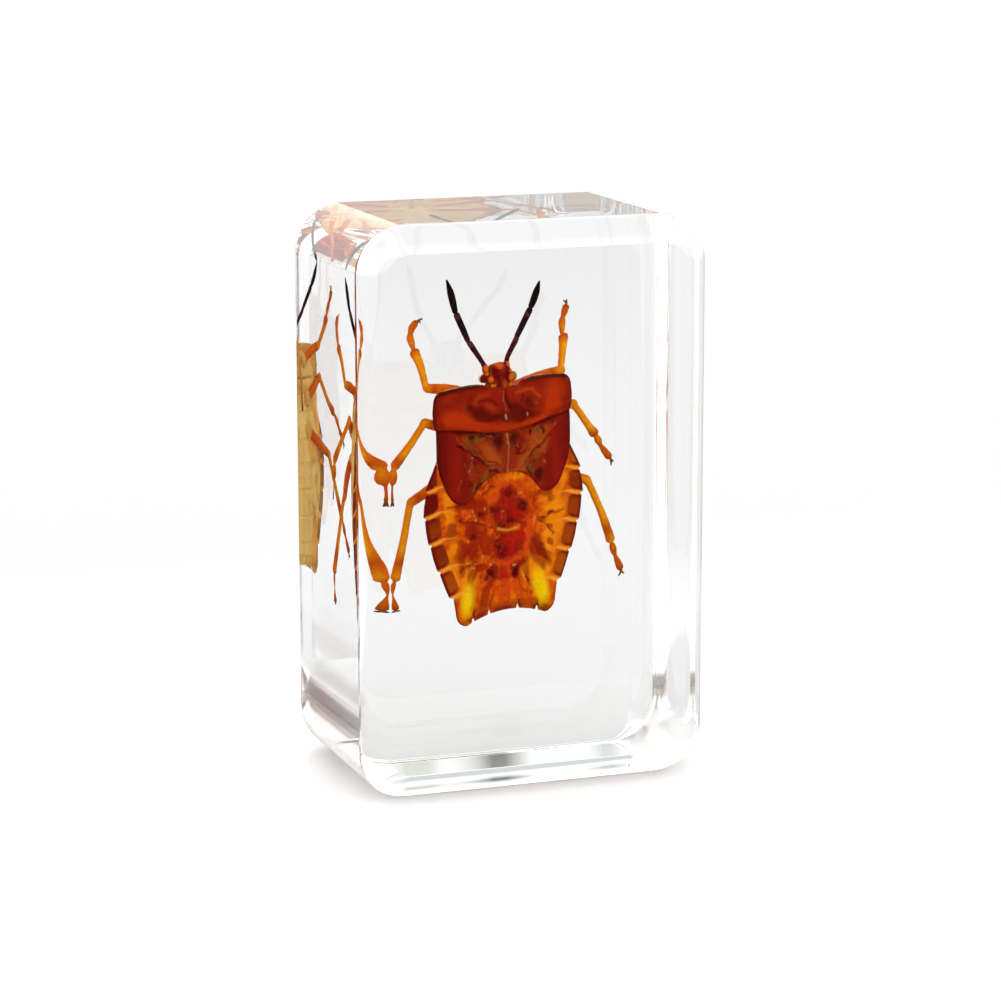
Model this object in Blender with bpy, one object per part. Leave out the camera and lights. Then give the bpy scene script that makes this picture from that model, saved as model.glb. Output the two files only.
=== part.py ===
"""Clear resin block with a shield bug nymph sealed inside it.

The block stands upright on its narrow end, with its large faces towards -Y and +Y. It is parted
at its middle plane, so that the insect lies in a pocket shared by the two halves. The origin is
at the centre of the foot, on the surface that the block stands on.

The insect is modelled in its own frame, in millimetres: X across the body, Z towards the head,
-Y out of the back, and Y = 0 in the plane of the body's sharp side margin. It was one animal,
so its shell, head, antennae and legs are fused into one solid. The pocket is the same animal
with every surface moved outwards by a clearance.
"""
import math

import bmesh
import bpy
import numpy as np
from mathutils import Matrix, Vector

MM = 0.001

# Resin block
BLOCK_WIDTH = 0.0280
BLOCK_DEPTH = 0.0183
BLOCK_HEIGHT = 0.0440
CORNER_RADIUS = 0.0038      # the four corners of the front outline
EASING_ACROSS = 0.0022      # the polished rim, measured across the large face
EASING_DOWN = 0.0015        # the same rim, measured down the side
CORNER_SEGMENTS = 6
RIM_SEGMENTS = 4
PARTING_GAP = 0.0003

# Where the insect lies in the block
INSECT_CENTRE = (-0.00078, 0.00005, 0.0220)
INSECT_TURN = 16.0          # about Z: its right side lies deeper
INSECT_PITCH = 3.5          # about X: its head lies nearer the front
INSECT_ROLL = -2.9          # about Y: its head leans to the left
POCKET_CLEARANCE = 0.40     # millimetres, like every insect size below
POCKET_STEP = 1.2

# Body: one row for each cross-section, from the neck to the tail:
# height, half width, rise of the back, depth of the belly, bow of the section towards the tail.
# Two rows close together make the tooth at the hind corner of an abdominal segment.
BODY_SECTIONS = (
    (8.60, 4.20, 0.20, 1.10, 0.00),
    (7.20, 4.90, 0.30, 1.90, 0.00),
    (5.20, 5.50, 0.35, 2.30, 0.00),
    (3.40, 6.10, 0.38, 2.45, 0.00),
    (1.40, 7.05, 0.40, 2.45, 0.00),
    (1.25, 6.95, 0.40, 2.45, 0.00),
    (-0.65, 7.25, 0.40, 2.35, 0.00),
    (-0.80, 7.12, 0.40, 2.35, 0.00),
    (-2.83, 6.85, 0.38, 2.10, 0.00),
    (-2.98, 6.63, 0.38, 2.10, 0.00),
    (-5.05, 6.13, 0.34, 1.75, 0.00),
    (-5.20, 5.85, 0.34, 1.75, 0.00),
    (-7.34, 5.13, 0.26, 1.25, 0.00),
    (-7.48, 4.75, 0.26, 1.20, 0.00),
    (-8.25, 4.55, 0.20, 1.00, 0.10),
    (-8.60, 4.45, 0.16, 0.85, 0.45),
    (-8.90, 4.20, 0.10, 0.65, 0.70),
    (-9.07, 3.80, 0.04, 0.40, 0.75),
)
BODY_COLUMNS = (0.0, 0.24, 0.47, 0.67, 0.82, 0.92, 1.0)
MARGIN_THICKNESS = 0.24
FLAT_MARGIN_FROM = 0.86     # share of the half width where the back meets the flat side margin
BELLY_FROM = 0.93           # the same where the belly meets it

# Pronotum: the shield behind the head. Half width at shares of the way from hind to front edge.
PRONOTUM_WIDTHS = ((0.0, 6.10), (0.22, 6.28), (0.5, 6.30), (0.78, 6.15), (0.92, 5.90), (1.0, 5.50))
PRONOTUM_HIND_EDGE = ((0.0, 5.20), (0.12, 5.20), (0.36, 5.40), (0.48, 5.60), (0.75, 5.90), (1.0, 6.00))
PRONOTUM_FRONT_EDGE = ((0.0, 8.70), (0.24, 8.75), (0.33, 9.15), (0.45, 9.25), (0.7, 9.22), (1.0, 9.05))
PRONOTUM_COLUMNS = (0.0, 0.12, 0.24, 0.33, 0.45, 0.6, 0.75, 0.88, 1.0)
PRONOTUM_TOP = 0.24
PRONOTUM_RISE = 0.56
PRONOTUM_UNDERSIDE = 0.14

# Wing pads and the plate between them: hind edge at distances from the middle line.
PADS_HALF_WIDTH = 6.05
PADS_FRONT = 6.40
PADS_HIND_EDGE = (
    (0.0, 1.90), (0.80, 1.93), (1.55, 1.71), (2.27, 1.23), (2.74, 0.67), (3.20, 0.15), (3.60, -0.03),
    (3.95, -0.05), (4.37, 0.04), (4.87, 0.42), (5.22, 1.12), (5.65, 2.05), (5.87, 2.95), (6.05, 3.75),
)
PADS_ROWS = 4
PADS_TOP = 0.33
PADS_RISE = 0.32
PADS_UNDERSIDE = 0.05

# Head: height, half width, half thickness of each section, all centred at HEAD_LEVEL
HEAD_SECTIONS = ((8.2, 1.40, 0.75), (9.3, 1.36, 0.80), (10.0, 1.10, 0.62), (10.4, 0.92, 0.45), (10.58, 0.66, 0.26))
HEAD_LEVEL = 0.50
HEAD_SIDES = 12

# Round parts in pairs: place of the left one (its x is negated for the right one) and radii
EYE = ((1.30, 0.45, 9.38), (0.40, 0.42, 0.46))
TUBERCLE = ((0.92, 0.55, 10.30), (0.27, 0.27, 0.34))
FRONT_COXA = ((1.55, 1.75, 8.00), (0.62, 0.62, 0.62))
MIDDLE_COXA = ((1.60, 2.45, 4.95), (0.70, 0.62, 0.70))
HIND_COXA = ((1.65, 2.50, 2.35), (0.75, 0.62, 0.75))
ROUND_PARTS = (EYE, TUBERCLE, FRONT_COXA, MIDDLE_COXA, HIND_COXA)

# Limbs: x, y, z and radius of each point from the body outwards
LIMBS = {
    "antenna_left": (
        (-0.92, 0.55, 10.20, 0.20), (-1.22, 0.66, 10.75, 0.15), (-2.10, 1.45, 12.25, 0.18),
        (-2.16, 1.55, 12.42, 0.11), (-2.52, 2.70, 14.30, 0.20), (-2.56, 2.82, 14.50, 0.11),
        (-2.60, 3.15, 15.30, 0.21), (-2.67, 3.40, 16.05, 0.21), (-2.82, 3.70, 16.95, 0.10),
    ),
    "antenna_right": (
        (0.92, 0.55, 10.20, 0.20), (1.05, 0.66, 10.90, 0.15), (2.10, 1.38, 12.05, 0.18),
        (2.22, 1.45, 12.22, 0.11), (3.85, 2.32, 13.95, 0.20), (4.02, 2.40, 14.13, 0.11),
        (4.40, 2.65, 14.60, 0.21), (4.85, 2.90, 15.28, 0.21), (5.23, 3.10, 15.99, 0.10),
    ),
    "front_leg_left": (
        (-1.60, 2.00, 8.15, 0.36), (-3.77, 2.15, 8.70, 0.40), (-5.30, 2.38, 8.96, 0.30),
        (-5.50, 2.75, 9.65, 0.25), (-5.55, 3.20, 10.60, 0.29), (-5.70, 3.88, 11.68, 0.38),
        (-5.76, 3.98, 11.96, 0.15), (-5.84, 4.18, 12.70, 0.21), (-5.72, 4.32, 13.15, 0.15),
        (-5.45, 4.38, 13.60, 0.19), (-5.12, 4.30, 13.95, 0.12), (-4.76, 4.20, 14.02, 0.07),
    ),
    "front_leg_right": (
        (1.60, 2.00, 8.15, 0.36), (4.30, 1.45, 8.80, 0.40), (5.95, 1.18, 9.05, 0.30),
        (6.32, 1.65, 9.65, 0.25), (6.81, 2.30, 10.50, 0.29), (7.18, 2.80, 11.36, 0.38),
        (7.18, 3.00, 11.66, 0.15), (7.40, 3.45, 12.45, 0.21), (7.60, 3.65, 12.85, 0.15),
        (7.92, 3.80, 13.35, 0.19), (8.06, 3.80, 13.70, 0.12), (7.79, 3.80, 14.01, 0.07),
    ),
    "middle_leg_left": (
        (-1.70, 2.70, 5.00, 0.38), (-4.20, 1.95, 5.80, 0.42), (-6.25, 1.22, 6.55, 0.32),
        (-6.52, 1.65, 6.00, 0.25), (-6.91, 2.60, 4.76, 0.28), (-7.64, 3.80, 3.00, 0.38),
        (-7.80, 3.85, 2.72, 0.16), (-8.00, 3.74, 2.10, 0.29), (-7.99, 3.80, 1.62, 0.11),
        (-7.94, 3.92, 0.90, 0.13), (-7.92, 3.98, 0.25, 0.10), (-7.92, 4.00, -0.12, 0.14),
    ),
    "middle_leg_right": (
        (1.70, 2.70, 5.00, 0.38), (4.40, 1.45, 5.80, 0.42), (6.60, 0.42, 6.45, 0.32),
        (7.05, 0.45, 5.95, 0.25), (8.36, 0.90, 4.36, 0.28), (9.08, 1.36, 3.60, 0.38),
        (9.32, 1.55, 3.36, 0.16), (9.75, 1.82, 2.85, 0.26), (10.02, 1.88, 2.30, 0.14),
        (10.55, 1.98, 1.65, 0.19), (11.05, 2.00, 1.00, 0.14), (10.90, 2.00, 0.60, 0.07),
    ),
    "hind_leg_left": (
        (-1.80, 2.80, 2.30, 0.40), (-4.60, 2.45, 1.30, 0.44), (-7.25, 1.82, 0.46, 0.33),
        (-7.45, 2.15, -0.35, 0.26), (-7.61, 2.85, -2.77, 0.28), (-7.93, 3.64, -5.85, 0.38),
        (-8.05, 3.64, -6.20, 0.17), (-8.26, 3.52, -6.70, 0.23), (-8.30, 3.47, -7.10, 0.11),
        (-8.26, 3.42, -7.50, 0.13), (-8.14, 3.34, -8.00, 0.22), (-8.06, 3.30, -8.36, 0.26),
    ),
    "hind_leg_right": (
        (1.80, 2.80, 2.30, 0.40), (5.00, 1.75, 1.10, 0.44), (7.95, 0.85, 0.10, 0.33),
        (8.35, 0.75, -0.50, 0.26), (9.48, 0.90, -2.85, 0.29), (10.45, 1.20, -5.15, 0.38),
        (10.62, 1.30, -5.50, 0.16), (10.82, 1.42, -6.10, 0.24), (11.02, 1.50, -6.75, 0.13),
        (11.40, 1.58, -7.60, 0.19), (11.70, 1.60, -8.20, 0.20), (11.60, 1.68, -8.52, 0.14),
    ),
    "rostrum": (
        (0.05, 1.15, 9.90, 0.24), (0.08, 2.00, 8.90, 0.26), (0.03, 2.75, 6.40, 0.22),
        (-0.04, 2.95, 4.00, 0.17),
    ),
}

WELD = 1e-6


def clear_scene():
    for old in list(bpy.data.objects):
        bpy.data.objects.remove(old, do_unlink=True)


def new_collection(name):
    collection = bpy.data.collections.new(name)
    bpy.context.scene.collection.children.link(collection)
    return collection


def principled(name, colour, roughness, transmission=0.0, ior=1.5):
    material = bpy.data.materials.new(name)
    material.use_nodes = True
    shader = material.node_tree.nodes["Principled BSDF"]
    shader.inputs["Base Color"].default_value = (*colour, 1.0)
    shader.inputs["Roughness"].default_value = roughness
    shader.inputs["Metallic"].default_value = 0.0
    shader.inputs["Transmission Weight"].default_value = transmission
    shader.inputs["IOR"].default_value = ior
    material.diffuse_color = (*colour, 0.35 if transmission else 1.0)
    return material


def object_from_bmesh(name, mesh_data, collection):
    mesh = bpy.data.meshes.new(name)
    mesh_data.to_mesh(mesh)
    mesh_data.free()
    made = bpy.data.objects.new(name, mesh)
    collection.objects.link(made)
    return made


def loft(name, rings, collection):
    """Closed solid through rings of equal length; each end is closed between its two long sides."""
    rows, count = rings.shape[:2]
    shape = bmesh.new()
    points = [[shape.verts.new(point) for point in ring] for ring in rings]
    for row in range(rows - 1):
        for i in range(count):
            j = (i + 1) % count
            shape.faces.new((points[row][i], points[row][j], points[row + 1][j], points[row + 1][i]))
    for end in (points[0], points[-1]):
        for i in range(count // 2 - 1):
            shape.faces.new((end[i], end[i + 1], end[count - 2 - i], end[count - 1 - i]))
    bmesh.ops.recalc_face_normals(shape, faces=shape.faces)
    return object_from_bmesh(name, shape, collection)


def both_sides(columns):
    """Shares from -1 to 1 out of those from 0 to 1."""
    right = np.array(columns)
    return np.concatenate((-right[:0:-1], right))


def plate_ring(x, back, belly, z):
    """One closed section: over the back from left to right, and home under the belly."""
    top = np.stack((x, back, z), axis=1)
    underside = np.stack((x, belly, z), axis=1)[::-1]
    return np.concatenate((top, underside))


def table(share, rows):
    """Value at a share, read from rows of (share, value)."""
    known = np.array(rows)
    return np.interp(share, known[:, 0], known[:, 1])


def body(grow, collection):
    share = both_sides(BODY_COLUMNS)
    back_shape = np.clip(1.0 - (share / FLAT_MARGIN_FROM) ** 2, 0.0, None) ** 0.8
    belly_shape = np.clip(1.0 - (share / BELLY_FROM) ** 2, 0.0, None) ** 0.9
    last = len(BODY_SECTIONS) - 1
    rings = []
    for i, (height, half_width, rise, depth, bow) in enumerate(BODY_SECTIONS):
        end = {0: grow, last: -grow}.get(i, 0.0)
        x = share * (half_width + grow)
        z = height + end - bow * share ** 2
        back = -MARGIN_THICKNESS / 2 - grow - rise * back_shape
        belly = MARGIN_THICKNESS / 2 + grow + depth * belly_shape
        rings.append(plate_ring(x, back, belly, z))
    return loft("body", np.array(rings) * MM, collection)


def pronotum(grow, collection):
    share = both_sides(PRONOTUM_COLUMNS)
    hind = table(abs(share), PRONOTUM_HIND_EDGE) - grow
    front = table(abs(share), PRONOTUM_FRONT_EDGE) + grow
    back = -PRONOTUM_TOP - grow - PRONOTUM_RISE * (1.0 - share ** 2)
    belly = np.full_like(share, PRONOTUM_UNDERSIDE + grow)
    rings = []
    for way, half_width in PRONOTUM_WIDTHS:
        z = hind + (front - hind) * way
        rings.append(plate_ring(share * (half_width + grow), back, belly, z))
    return loft("pronotum", np.array(rings) * MM, collection)


def wing_pads(grow, collection):
    right = np.array(PADS_HIND_EDGE)
    x = both_sides(right[:, 0])
    hind = np.concatenate((right[:0:-1, 1], right[:, 1])) - grow
    share = x / PADS_HALF_WIDTH
    back = -PADS_TOP - grow - PADS_RISE * (1.0 - share ** 2)
    belly = np.full_like(x, PADS_UNDERSIDE + grow)
    wide = x + grow * share
    rings = []
    for way in np.linspace(0.0, 1.0, PADS_ROWS):
        z = PADS_FRONT + (hind - PADS_FRONT) * way
        rings.append(plate_ring(wide, back, belly, z))
    return loft("wing_pads", np.array(rings) * MM, collection)


def head(grow, collection):
    angle = np.linspace(0.0, 2.0 * math.pi, HEAD_SIDES, endpoint=False) + math.pi / HEAD_SIDES
    last = len(HEAD_SECTIONS) - 1
    rings = []
    for i, (height, half_width, half_thick) in enumerate(HEAD_SECTIONS):
        x = (half_width + grow) * np.cos(angle)
        y = HEAD_LEVEL + (half_thick + grow) * np.sin(angle)
        z = np.full_like(x, height + (grow if i == last else 0.0))
        rings.append(np.stack((x, y, z), axis=1))
    return loft("head", np.array(rings) * MM, collection)


def round_part(place, radii, side, grow, collection):
    shape = bmesh.new()
    segments = 8 if grow else 12
    bmesh.ops.create_uvsphere(shape, u_segments=segments, v_segments=segments * 2 // 3, radius=1.0)
    size = [(radius + grow) * MM for radius in radii]
    centre = Vector((place[0] * side, place[1], place[2])) * MM
    bmesh.ops.scale(shape, vec=size, verts=shape.verts)
    bmesh.ops.translate(shape, vec=centre, verts=shape.verts)
    return object_from_bmesh("round_part", shape, collection)


def coarse(points):
    """A limb's points at least POCKET_STEP apart, each as thick as its thickest neighbour."""
    kept = []
    for i, point in enumerate(points):
        place = Vector(point[:3])
        thickest = max(near[3] for near in points[max(i - 1, 0):i + 2])
        if not kept or (place - Vector(kept[-1][:3])).length > POCKET_STEP:
            kept.append((*place, thickest))
    if Vector(kept[-1][:3]) != Vector(points[-1][:3]):
        kept[-1] = (*points[-1][:3], kept[-1][3])
    return kept


def limb(name, points, grow, collection):
    """Tube with its own radius at each point, made solid from a curve."""
    if grow:
        points = coarse(points)
    curve = bpy.data.curves.new(name, "CURVE")
    curve.dimensions = "3D"
    curve.bevel_depth = MM
    curve.bevel_resolution = 1 if grow else 2
    curve.use_fill_caps = True
    line = curve.splines.new("POLY")
    line.points.add(len(points) - 1)
    tip, before = (Vector(points[i][:3]) for i in (-1, -2))
    reach = tip + (tip - before).normalized() * grow
    places = [Vector(point[:3]) for point in points[:-1]] + [reach]
    for knot, place, point in zip(line.points, places, points):
        knot.co = (*(place * MM), 1.0)
        knot.radius = point[3] + grow
    tube = bpy.data.objects.new(name + "_curve", curve)
    collection.objects.link(tube)
    depsgraph = bpy.context.evaluated_depsgraph_get()
    mesh = bpy.data.meshes.new_from_object(tube.evaluated_get(depsgraph))
    shape = bmesh.new()
    shape.from_mesh(mesh)
    bmesh.ops.remove_doubles(shape, verts=shape.verts, dist=WELD)
    bmesh.ops.recalc_face_normals(shape, faces=shape.faces)
    solid = object_from_bmesh(name, shape, collection)
    solid.matrix_world = tube.matrix_world
    bpy.data.meshes.remove(mesh)
    bpy.data.objects.remove(tube, do_unlink=True)
    return solid


def fuse(name, pieces, collection):
    """Union of solids, one at a time, as a plain mesh in a new object."""
    whole = pieces[0]
    for piece in pieces[1:]:
        union = whole.modifiers.new("union", "BOOLEAN")
        union.operation = "UNION"
        union.solver = "EXACT"
        union.object = piece
        depsgraph = bpy.context.evaluated_depsgraph_get()
        mesh = bpy.data.meshes.new_from_object(whole.evaluated_get(depsgraph))
        whole.modifiers.remove(union)
        whole.data = mesh
        bpy.data.objects.remove(piece, do_unlink=True)
    shape = bmesh.new()
    shape.from_mesh(whole.data)
    bmesh.ops.remove_doubles(shape, verts=shape.verts, dist=WELD)
    bmesh.ops.dissolve_degenerate(shape, edges=shape.edges, dist=WELD)
    bmesh.ops.triangulate(shape, faces=shape.faces)
    bpy.data.objects.remove(whole, do_unlink=True)
    return object_from_bmesh(name, shape, collection)


def insect(name, grow, collection):
    pieces = [body(grow, collection), wing_pads(grow, collection)]
    pieces.append(pronotum(grow, collection))
    pieces.append(head(grow, collection))
    for place, radii in ROUND_PARTS:
        pieces += [round_part(place, radii, side, grow, collection) for side in (-1, 1)]
    pieces += [limb(key, points, grow, collection) for key, points in LIMBS.items()]
    whole = fuse(name, pieces, collection)
    turn = Matrix.Rotation(math.radians(INSECT_TURN), 4, "Z")
    pitch = Matrix.Rotation(math.radians(INSECT_PITCH), 4, "X")
    roll = Matrix.Rotation(math.radians(INSECT_ROLL), 4, "Y")
    whole.matrix_world = Matrix.Translation(INSECT_CENTRE) @ turn @ pitch @ roll
    return whole


def edges_along(shape, axis):
    return [
        edge for edge in shape.edges
        if abs((edge.verts[1].co - edge.verts[0].co).normalized()[axis]) > 0.999
    ]


def rim_edges(shape, half_depth):
    """Edges that lie in the plane of a large face."""
    return [
        edge for edge in shape.edges
        if all(abs(abs(vert.co.y) - half_depth) < WELD for vert in edge.verts)
        and edge.calc_face_angle(0.0) > math.radians(80.0)
    ]


def resin_half(name, side, pocket, collection, material):
    """Half of the eased block, on the -Y side for side -1 and on the +Y side for side 1."""
    stretch = EASING_ACROSS / EASING_DOWN
    depth = BLOCK_DEPTH * stretch
    shape = bmesh.new()
    bmesh.ops.create_cube(shape, size=1.0)
    bmesh.ops.scale(shape, vec=(BLOCK_WIDTH, depth, BLOCK_HEIGHT), verts=shape.verts)
    bmesh.ops.bevel(
        shape, geom=edges_along(shape, 1), offset=CORNER_RADIUS, segments=CORNER_SEGMENTS,
        profile=0.5, affect="EDGES",
    )
    bmesh.ops.bevel(
        shape, geom=rim_edges(shape, depth / 2), offset=EASING_ACROSS, segments=RIM_SEGMENTS,
        profile=0.5, affect="EDGES",
    )
    bmesh.ops.scale(shape, vec=(1.0, 1.0 / stretch, 1.0), verts=shape.verts)
    bmesh.ops.translate(shape, vec=(0.0, 0.0, BLOCK_HEIGHT / 2), verts=shape.verts)
    everything = shape.verts[:] + shape.edges[:] + shape.faces[:]
    bmesh.ops.bisect_plane(
        shape, geom=everything, plane_co=(0.0, side * PARTING_GAP / 2, 0.0),
        plane_no=(0.0, side, 0.0), clear_inner=True,
    )
    bmesh.ops.holes_fill(shape, edges=[edge for edge in shape.edges if edge.is_boundary])
    bmesh.ops.recalc_face_normals(shape, faces=shape.faces)
    half = object_from_bmesh(name, shape, collection)
    half.data.materials.append(material)
    half.data.shade_smooth()
    half.data.set_sharp_from_angle(angle=math.radians(30.0))
    cut = half.modifiers.new("pocket", "BOOLEAN")
    cut.operation = "DIFFERENCE"
    cut.solver = "EXACT"
    cut.object = pocket
    return half


def main():
    clear_scene()
    parts = new_collection("insect_in_resin_block")
    cutters = new_collection("cutters")
    resin = principled("clear_resin", (0.97, 0.98, 0.97), 0.02, transmission=1.0, ior=1.55)
    shell = principled("insect_shell", (0.42, 0.09, 0.02), 0.35)
    bug = insect("shield_bug_nymph", 0.0, parts)
    bug.data.materials.append(shell)
    bug.data.shade_smooth()
    bug.data.set_sharp_from_angle(angle=math.radians(35.0))
    pocket = insect("pocket", POCKET_CLEARANCE, cutters)
    pocket.hide_render = True
    pocket.display_type = "WIRE"
    resin_half("resin_front_half", -1, pocket, parts, resin)
    resin_half("resin_back_half", 1, pocket, parts, resin)


main()
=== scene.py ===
import math

import bmesh
import bpy
import numpy as np
from mathutils import Matrix, Vector


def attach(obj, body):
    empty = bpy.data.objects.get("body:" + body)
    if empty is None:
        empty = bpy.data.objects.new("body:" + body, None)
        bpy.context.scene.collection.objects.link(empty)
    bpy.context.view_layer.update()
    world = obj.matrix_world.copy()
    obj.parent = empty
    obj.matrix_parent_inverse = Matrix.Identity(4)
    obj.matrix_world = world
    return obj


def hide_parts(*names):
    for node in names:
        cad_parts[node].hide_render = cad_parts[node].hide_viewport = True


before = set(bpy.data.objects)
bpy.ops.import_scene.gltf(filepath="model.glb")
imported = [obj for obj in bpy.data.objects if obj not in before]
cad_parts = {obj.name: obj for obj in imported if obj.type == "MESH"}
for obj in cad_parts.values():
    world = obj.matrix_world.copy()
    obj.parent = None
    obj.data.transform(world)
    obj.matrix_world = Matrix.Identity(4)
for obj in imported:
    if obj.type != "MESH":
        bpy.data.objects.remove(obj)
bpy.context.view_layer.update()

mm = 0.001          # the insect is measured in millimetres, everything else in metres
weldMm = 1e-5       # points of the insect that lie closer than this are one

# Where the insect lies in the block. Its own frame has x across the body, z towards the head and
# -y out of the back.
insectPlace = {
    "centre": (-0.00078, 0.00005, 0.022),
    "turn": 16.0,
    "pitch": 3.5,
    "roll": -2.9,
}


def insectMatrix():
    # scaled to metres, then rolled, pitched and turned about y, x and z, then moved to its centre
    turn = Matrix.Rotation(math.radians(insectPlace["turn"]), 4, "Z")
    pitch = Matrix.Rotation(math.radians(insectPlace["pitch"]), 4, "X")
    roll = Matrix.Rotation(math.radians(insectPlace["roll"]), 4, "Y")
    return Matrix.Translation(insectPlace["centre"]) @ turn @ pitch @ roll @ Matrix.Scale(mm, 4)


def linear(hexCode):
    # sRGB hex to the linear colour, with alpha, that shaders use
    parts = [int(hexCode[i:i + 2], 16) / 255 for i in (1, 3, 5)]
    return (*(c / 12.92 if c <= 0.04045 else ((c + 0.055) / 1.055) ** 2.4 for c in parts), 1.0)


def smooth(value, low, high):
    # 0 below low, 1 above high, and an even S curve between
    t = np.clip((value - low) / (high - low), 0.0, 1.0)
    return t * t * (3 - 2 * t)


def bell(value, width):
    # 1 where the value is 0, fading out on either side: exp(-(value / width) squared)
    return np.exp(-(value / width) ** 2)


def readOff(rows, at, column=1):
    # a column of a table at the given values of its first, along straight lines between its rows
    table = np.array(sorted(rows))
    return np.interp(at, table[:, 0], table[:, column])


def finer(stops, gap):
    # the stops, with more values evenly between each two of them, about a gap apart
    between = [np.linspace(a, b, max(2, int(abs(b - a) / gap)), endpoint=False)
               for a, b in zip(stops[:-1], stops[1:])]
    return np.append(np.concatenate(between), stops[-1])


def spot(x, z, place, size, lean=0.0, soft=0.4):
    # 1 inside an ellipse with the given centre and half sizes, leaning by degrees, 0 outside
    c, s = math.cos(math.radians(lean)), math.sin(math.radians(lean))
    dx, dz = x - place[0], z - place[1]
    reach = np.hypot((c * dx + s * dz) / size[0], (c * dz - s * dx) / size[1])
    return 1 - smooth(reach, 1 - soft, 1 + soft)


def spots(x, z, marks):
    # several of them, each (x, z, half width, half height, lean, softness)
    return np.clip(sum(spot(x, z, mark[:2], mark[2:4], *mark[4:]) for mark in marks), 0, 1)


def stroke(x, z, width, *paths):
    # bell over the distance to the nearest of several open lines
    nearest = np.full(np.broadcast(x, z).shape, np.inf)
    for path in paths:
        for (x0, z0), (x1, z1) in zip(path[:-1], path[1:]):
            dx, dz = x1 - x0, z1 - z0
            t = np.clip(((x - x0) * dx + (z - z0) * dz) / (dx * dx + dz * dz), 0, 1)
            nearest = np.minimum(nearest, np.hypot(x - x0 - t * dx, z - z0 - t * dz))
    return bell(nearest, width)


lattice = {"size": 64, "shift": (31.7, 29.3)}   # of the noise; the shift keeps its lines off the middle


def noise(x, z, scale, seed):
    # smooth random field from 0 to 1: random values on a square lattice, joined by S curves
    size = lattice["size"]
    values = np.random.default_rng(seed).random((size, size))
    u, v = x / scale + lattice["shift"][0], z / scale + lattice["shift"][1]
    i, j = np.floor(u).astype(int), np.floor(v).astype(int)
    fu, fv = smooth(u - i, 0, 1), smooth(v - j, 0, 1)

    def row(k):
        return values[i % size, (j + k) % size] * (1 - fu) + values[(i + 1) % size, (j + k) % size] * fu
    return row(0) * (1 - fv) + row(1) * fv


def rough(x, z, scale, seed):
    # three octaves of that field, centred on 0
    return sum((noise(x, z, scale / 2 ** k, seed + k) - 0.5) / 2 ** k for k in range(3))


def wavering(x, z, amount, scale, seed):
    # the same points pushed about by that field, so that markings get natural, uneven outlines
    return x + amount * rough(x, z, scale, seed), z + amount * rough(x, z, scale, seed + 7)


def around(count):
    # evenly spaced turns once around, from 0 up to the whole turn but without it
    return np.linspace(0, 2 * math.pi, count, endpoint=False)[None, :]


def placed(name, data):
    # an object at the origin, with its place in its mesh
    piece = bpy.data.objects.new(name, data)
    bpy.context.scene.collection.objects.link(piece)
    return piece


def surface(name, points, masks, ownUv):
    # closed grid: columns run around the piece, and rows that shrink to a point or a seam are
    # merged there; each mask becomes a value per point that the shell's markings read
    rows, cols = points.shape[:2]
    index = np.arange(rows * cols).reshape(rows, cols)
    right = np.roll(index, -1, axis=1)
    quads = np.stack((index[:-1], right[:-1], right[1:], index[1:]), axis=-1).reshape(-1, 4)
    mesh = bpy.data.meshes.new(name)
    mesh.from_pydata(points.reshape(-1, 3), [], quads.tolist())
    for key, values in masks.items():
        layer = mesh.attributes.new(key, "FLOAT", "POINT")
        layer.data.foreach_set("value", np.broadcast_to(values, (rows, cols)).astype(np.float32).ravel())
    uvs = np.stack([np.broadcast_to(part, (rows, cols)) for part in ownUv], axis=-1).reshape(-1, 2)
    own = mesh.uv_layers.new(name="millimetres")
    own.data.foreach_set("uv", uvs[quads.ravel()].astype(np.float32).ravel())
    made = bmesh.new()
    made.from_mesh(mesh)
    bmesh.ops.remove_doubles(made, verts=made.verts, dist=weldMm)
    bmesh.ops.recalc_face_normals(made, faces=made.faces)
    made.to_mesh(mesh)
    made.free()
    mesh.transform(insectMatrix())
    mesh.shade_smooth()
    return placed(name, mesh)


def joined(name, pieces):
    # several closed surfaces as one piece
    made = bmesh.new()
    for piece in pieces:
        made.from_mesh(piece.data)
    mesh = bpy.data.meshes.new(name)
    made.to_mesh(mesh)
    made.free()
    mesh.shade_smooth()
    for piece in pieces:
        bpy.data.objects.remove(piece)
    return placed(name, mesh)


def add(tree, kind, settings=None, links=None):
    # one node: settings are its properties or socket values, links are {its socket: source socket}
    node = tree.nodes.new(kind)
    for key, value in (settings or {}).items():
        if isinstance(key, str) and hasattr(node, key):
            setattr(node, key, value)
        else:
            node.inputs[key].default_value = value
    for key, source in (links or {}).items():
        tree.links.new(source, node.inputs[key])
    return node


def newMaterial(name):
    # an empty one, and the tree that its nodes go into
    material = bpy.data.materials.new(name)
    material.use_nodes = True
    material.node_tree.nodes.clear()
    return material, material.node_tree


shellSurface = {
    "speckMm": 0.15,       # pits and grains of the skin
    "tone": (0.9, 1.07),   # how much they darken and lighten it
    "roughness": (0.26, 0.48),
    "specular": 0.015,     # resin wets the shell, so it hardly shines of itself
    "ior": 1.56,
    "bump": 0.7,
    "bumpMm": 0.03,
    # the stretch of the noises' values, which crowd around a half, that takes up the whole change
    "cloudFrom": 0.34, "cloudTo": 0.66,
    "speckFrom": 0.3, "speckTo": 0.7,
}


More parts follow.
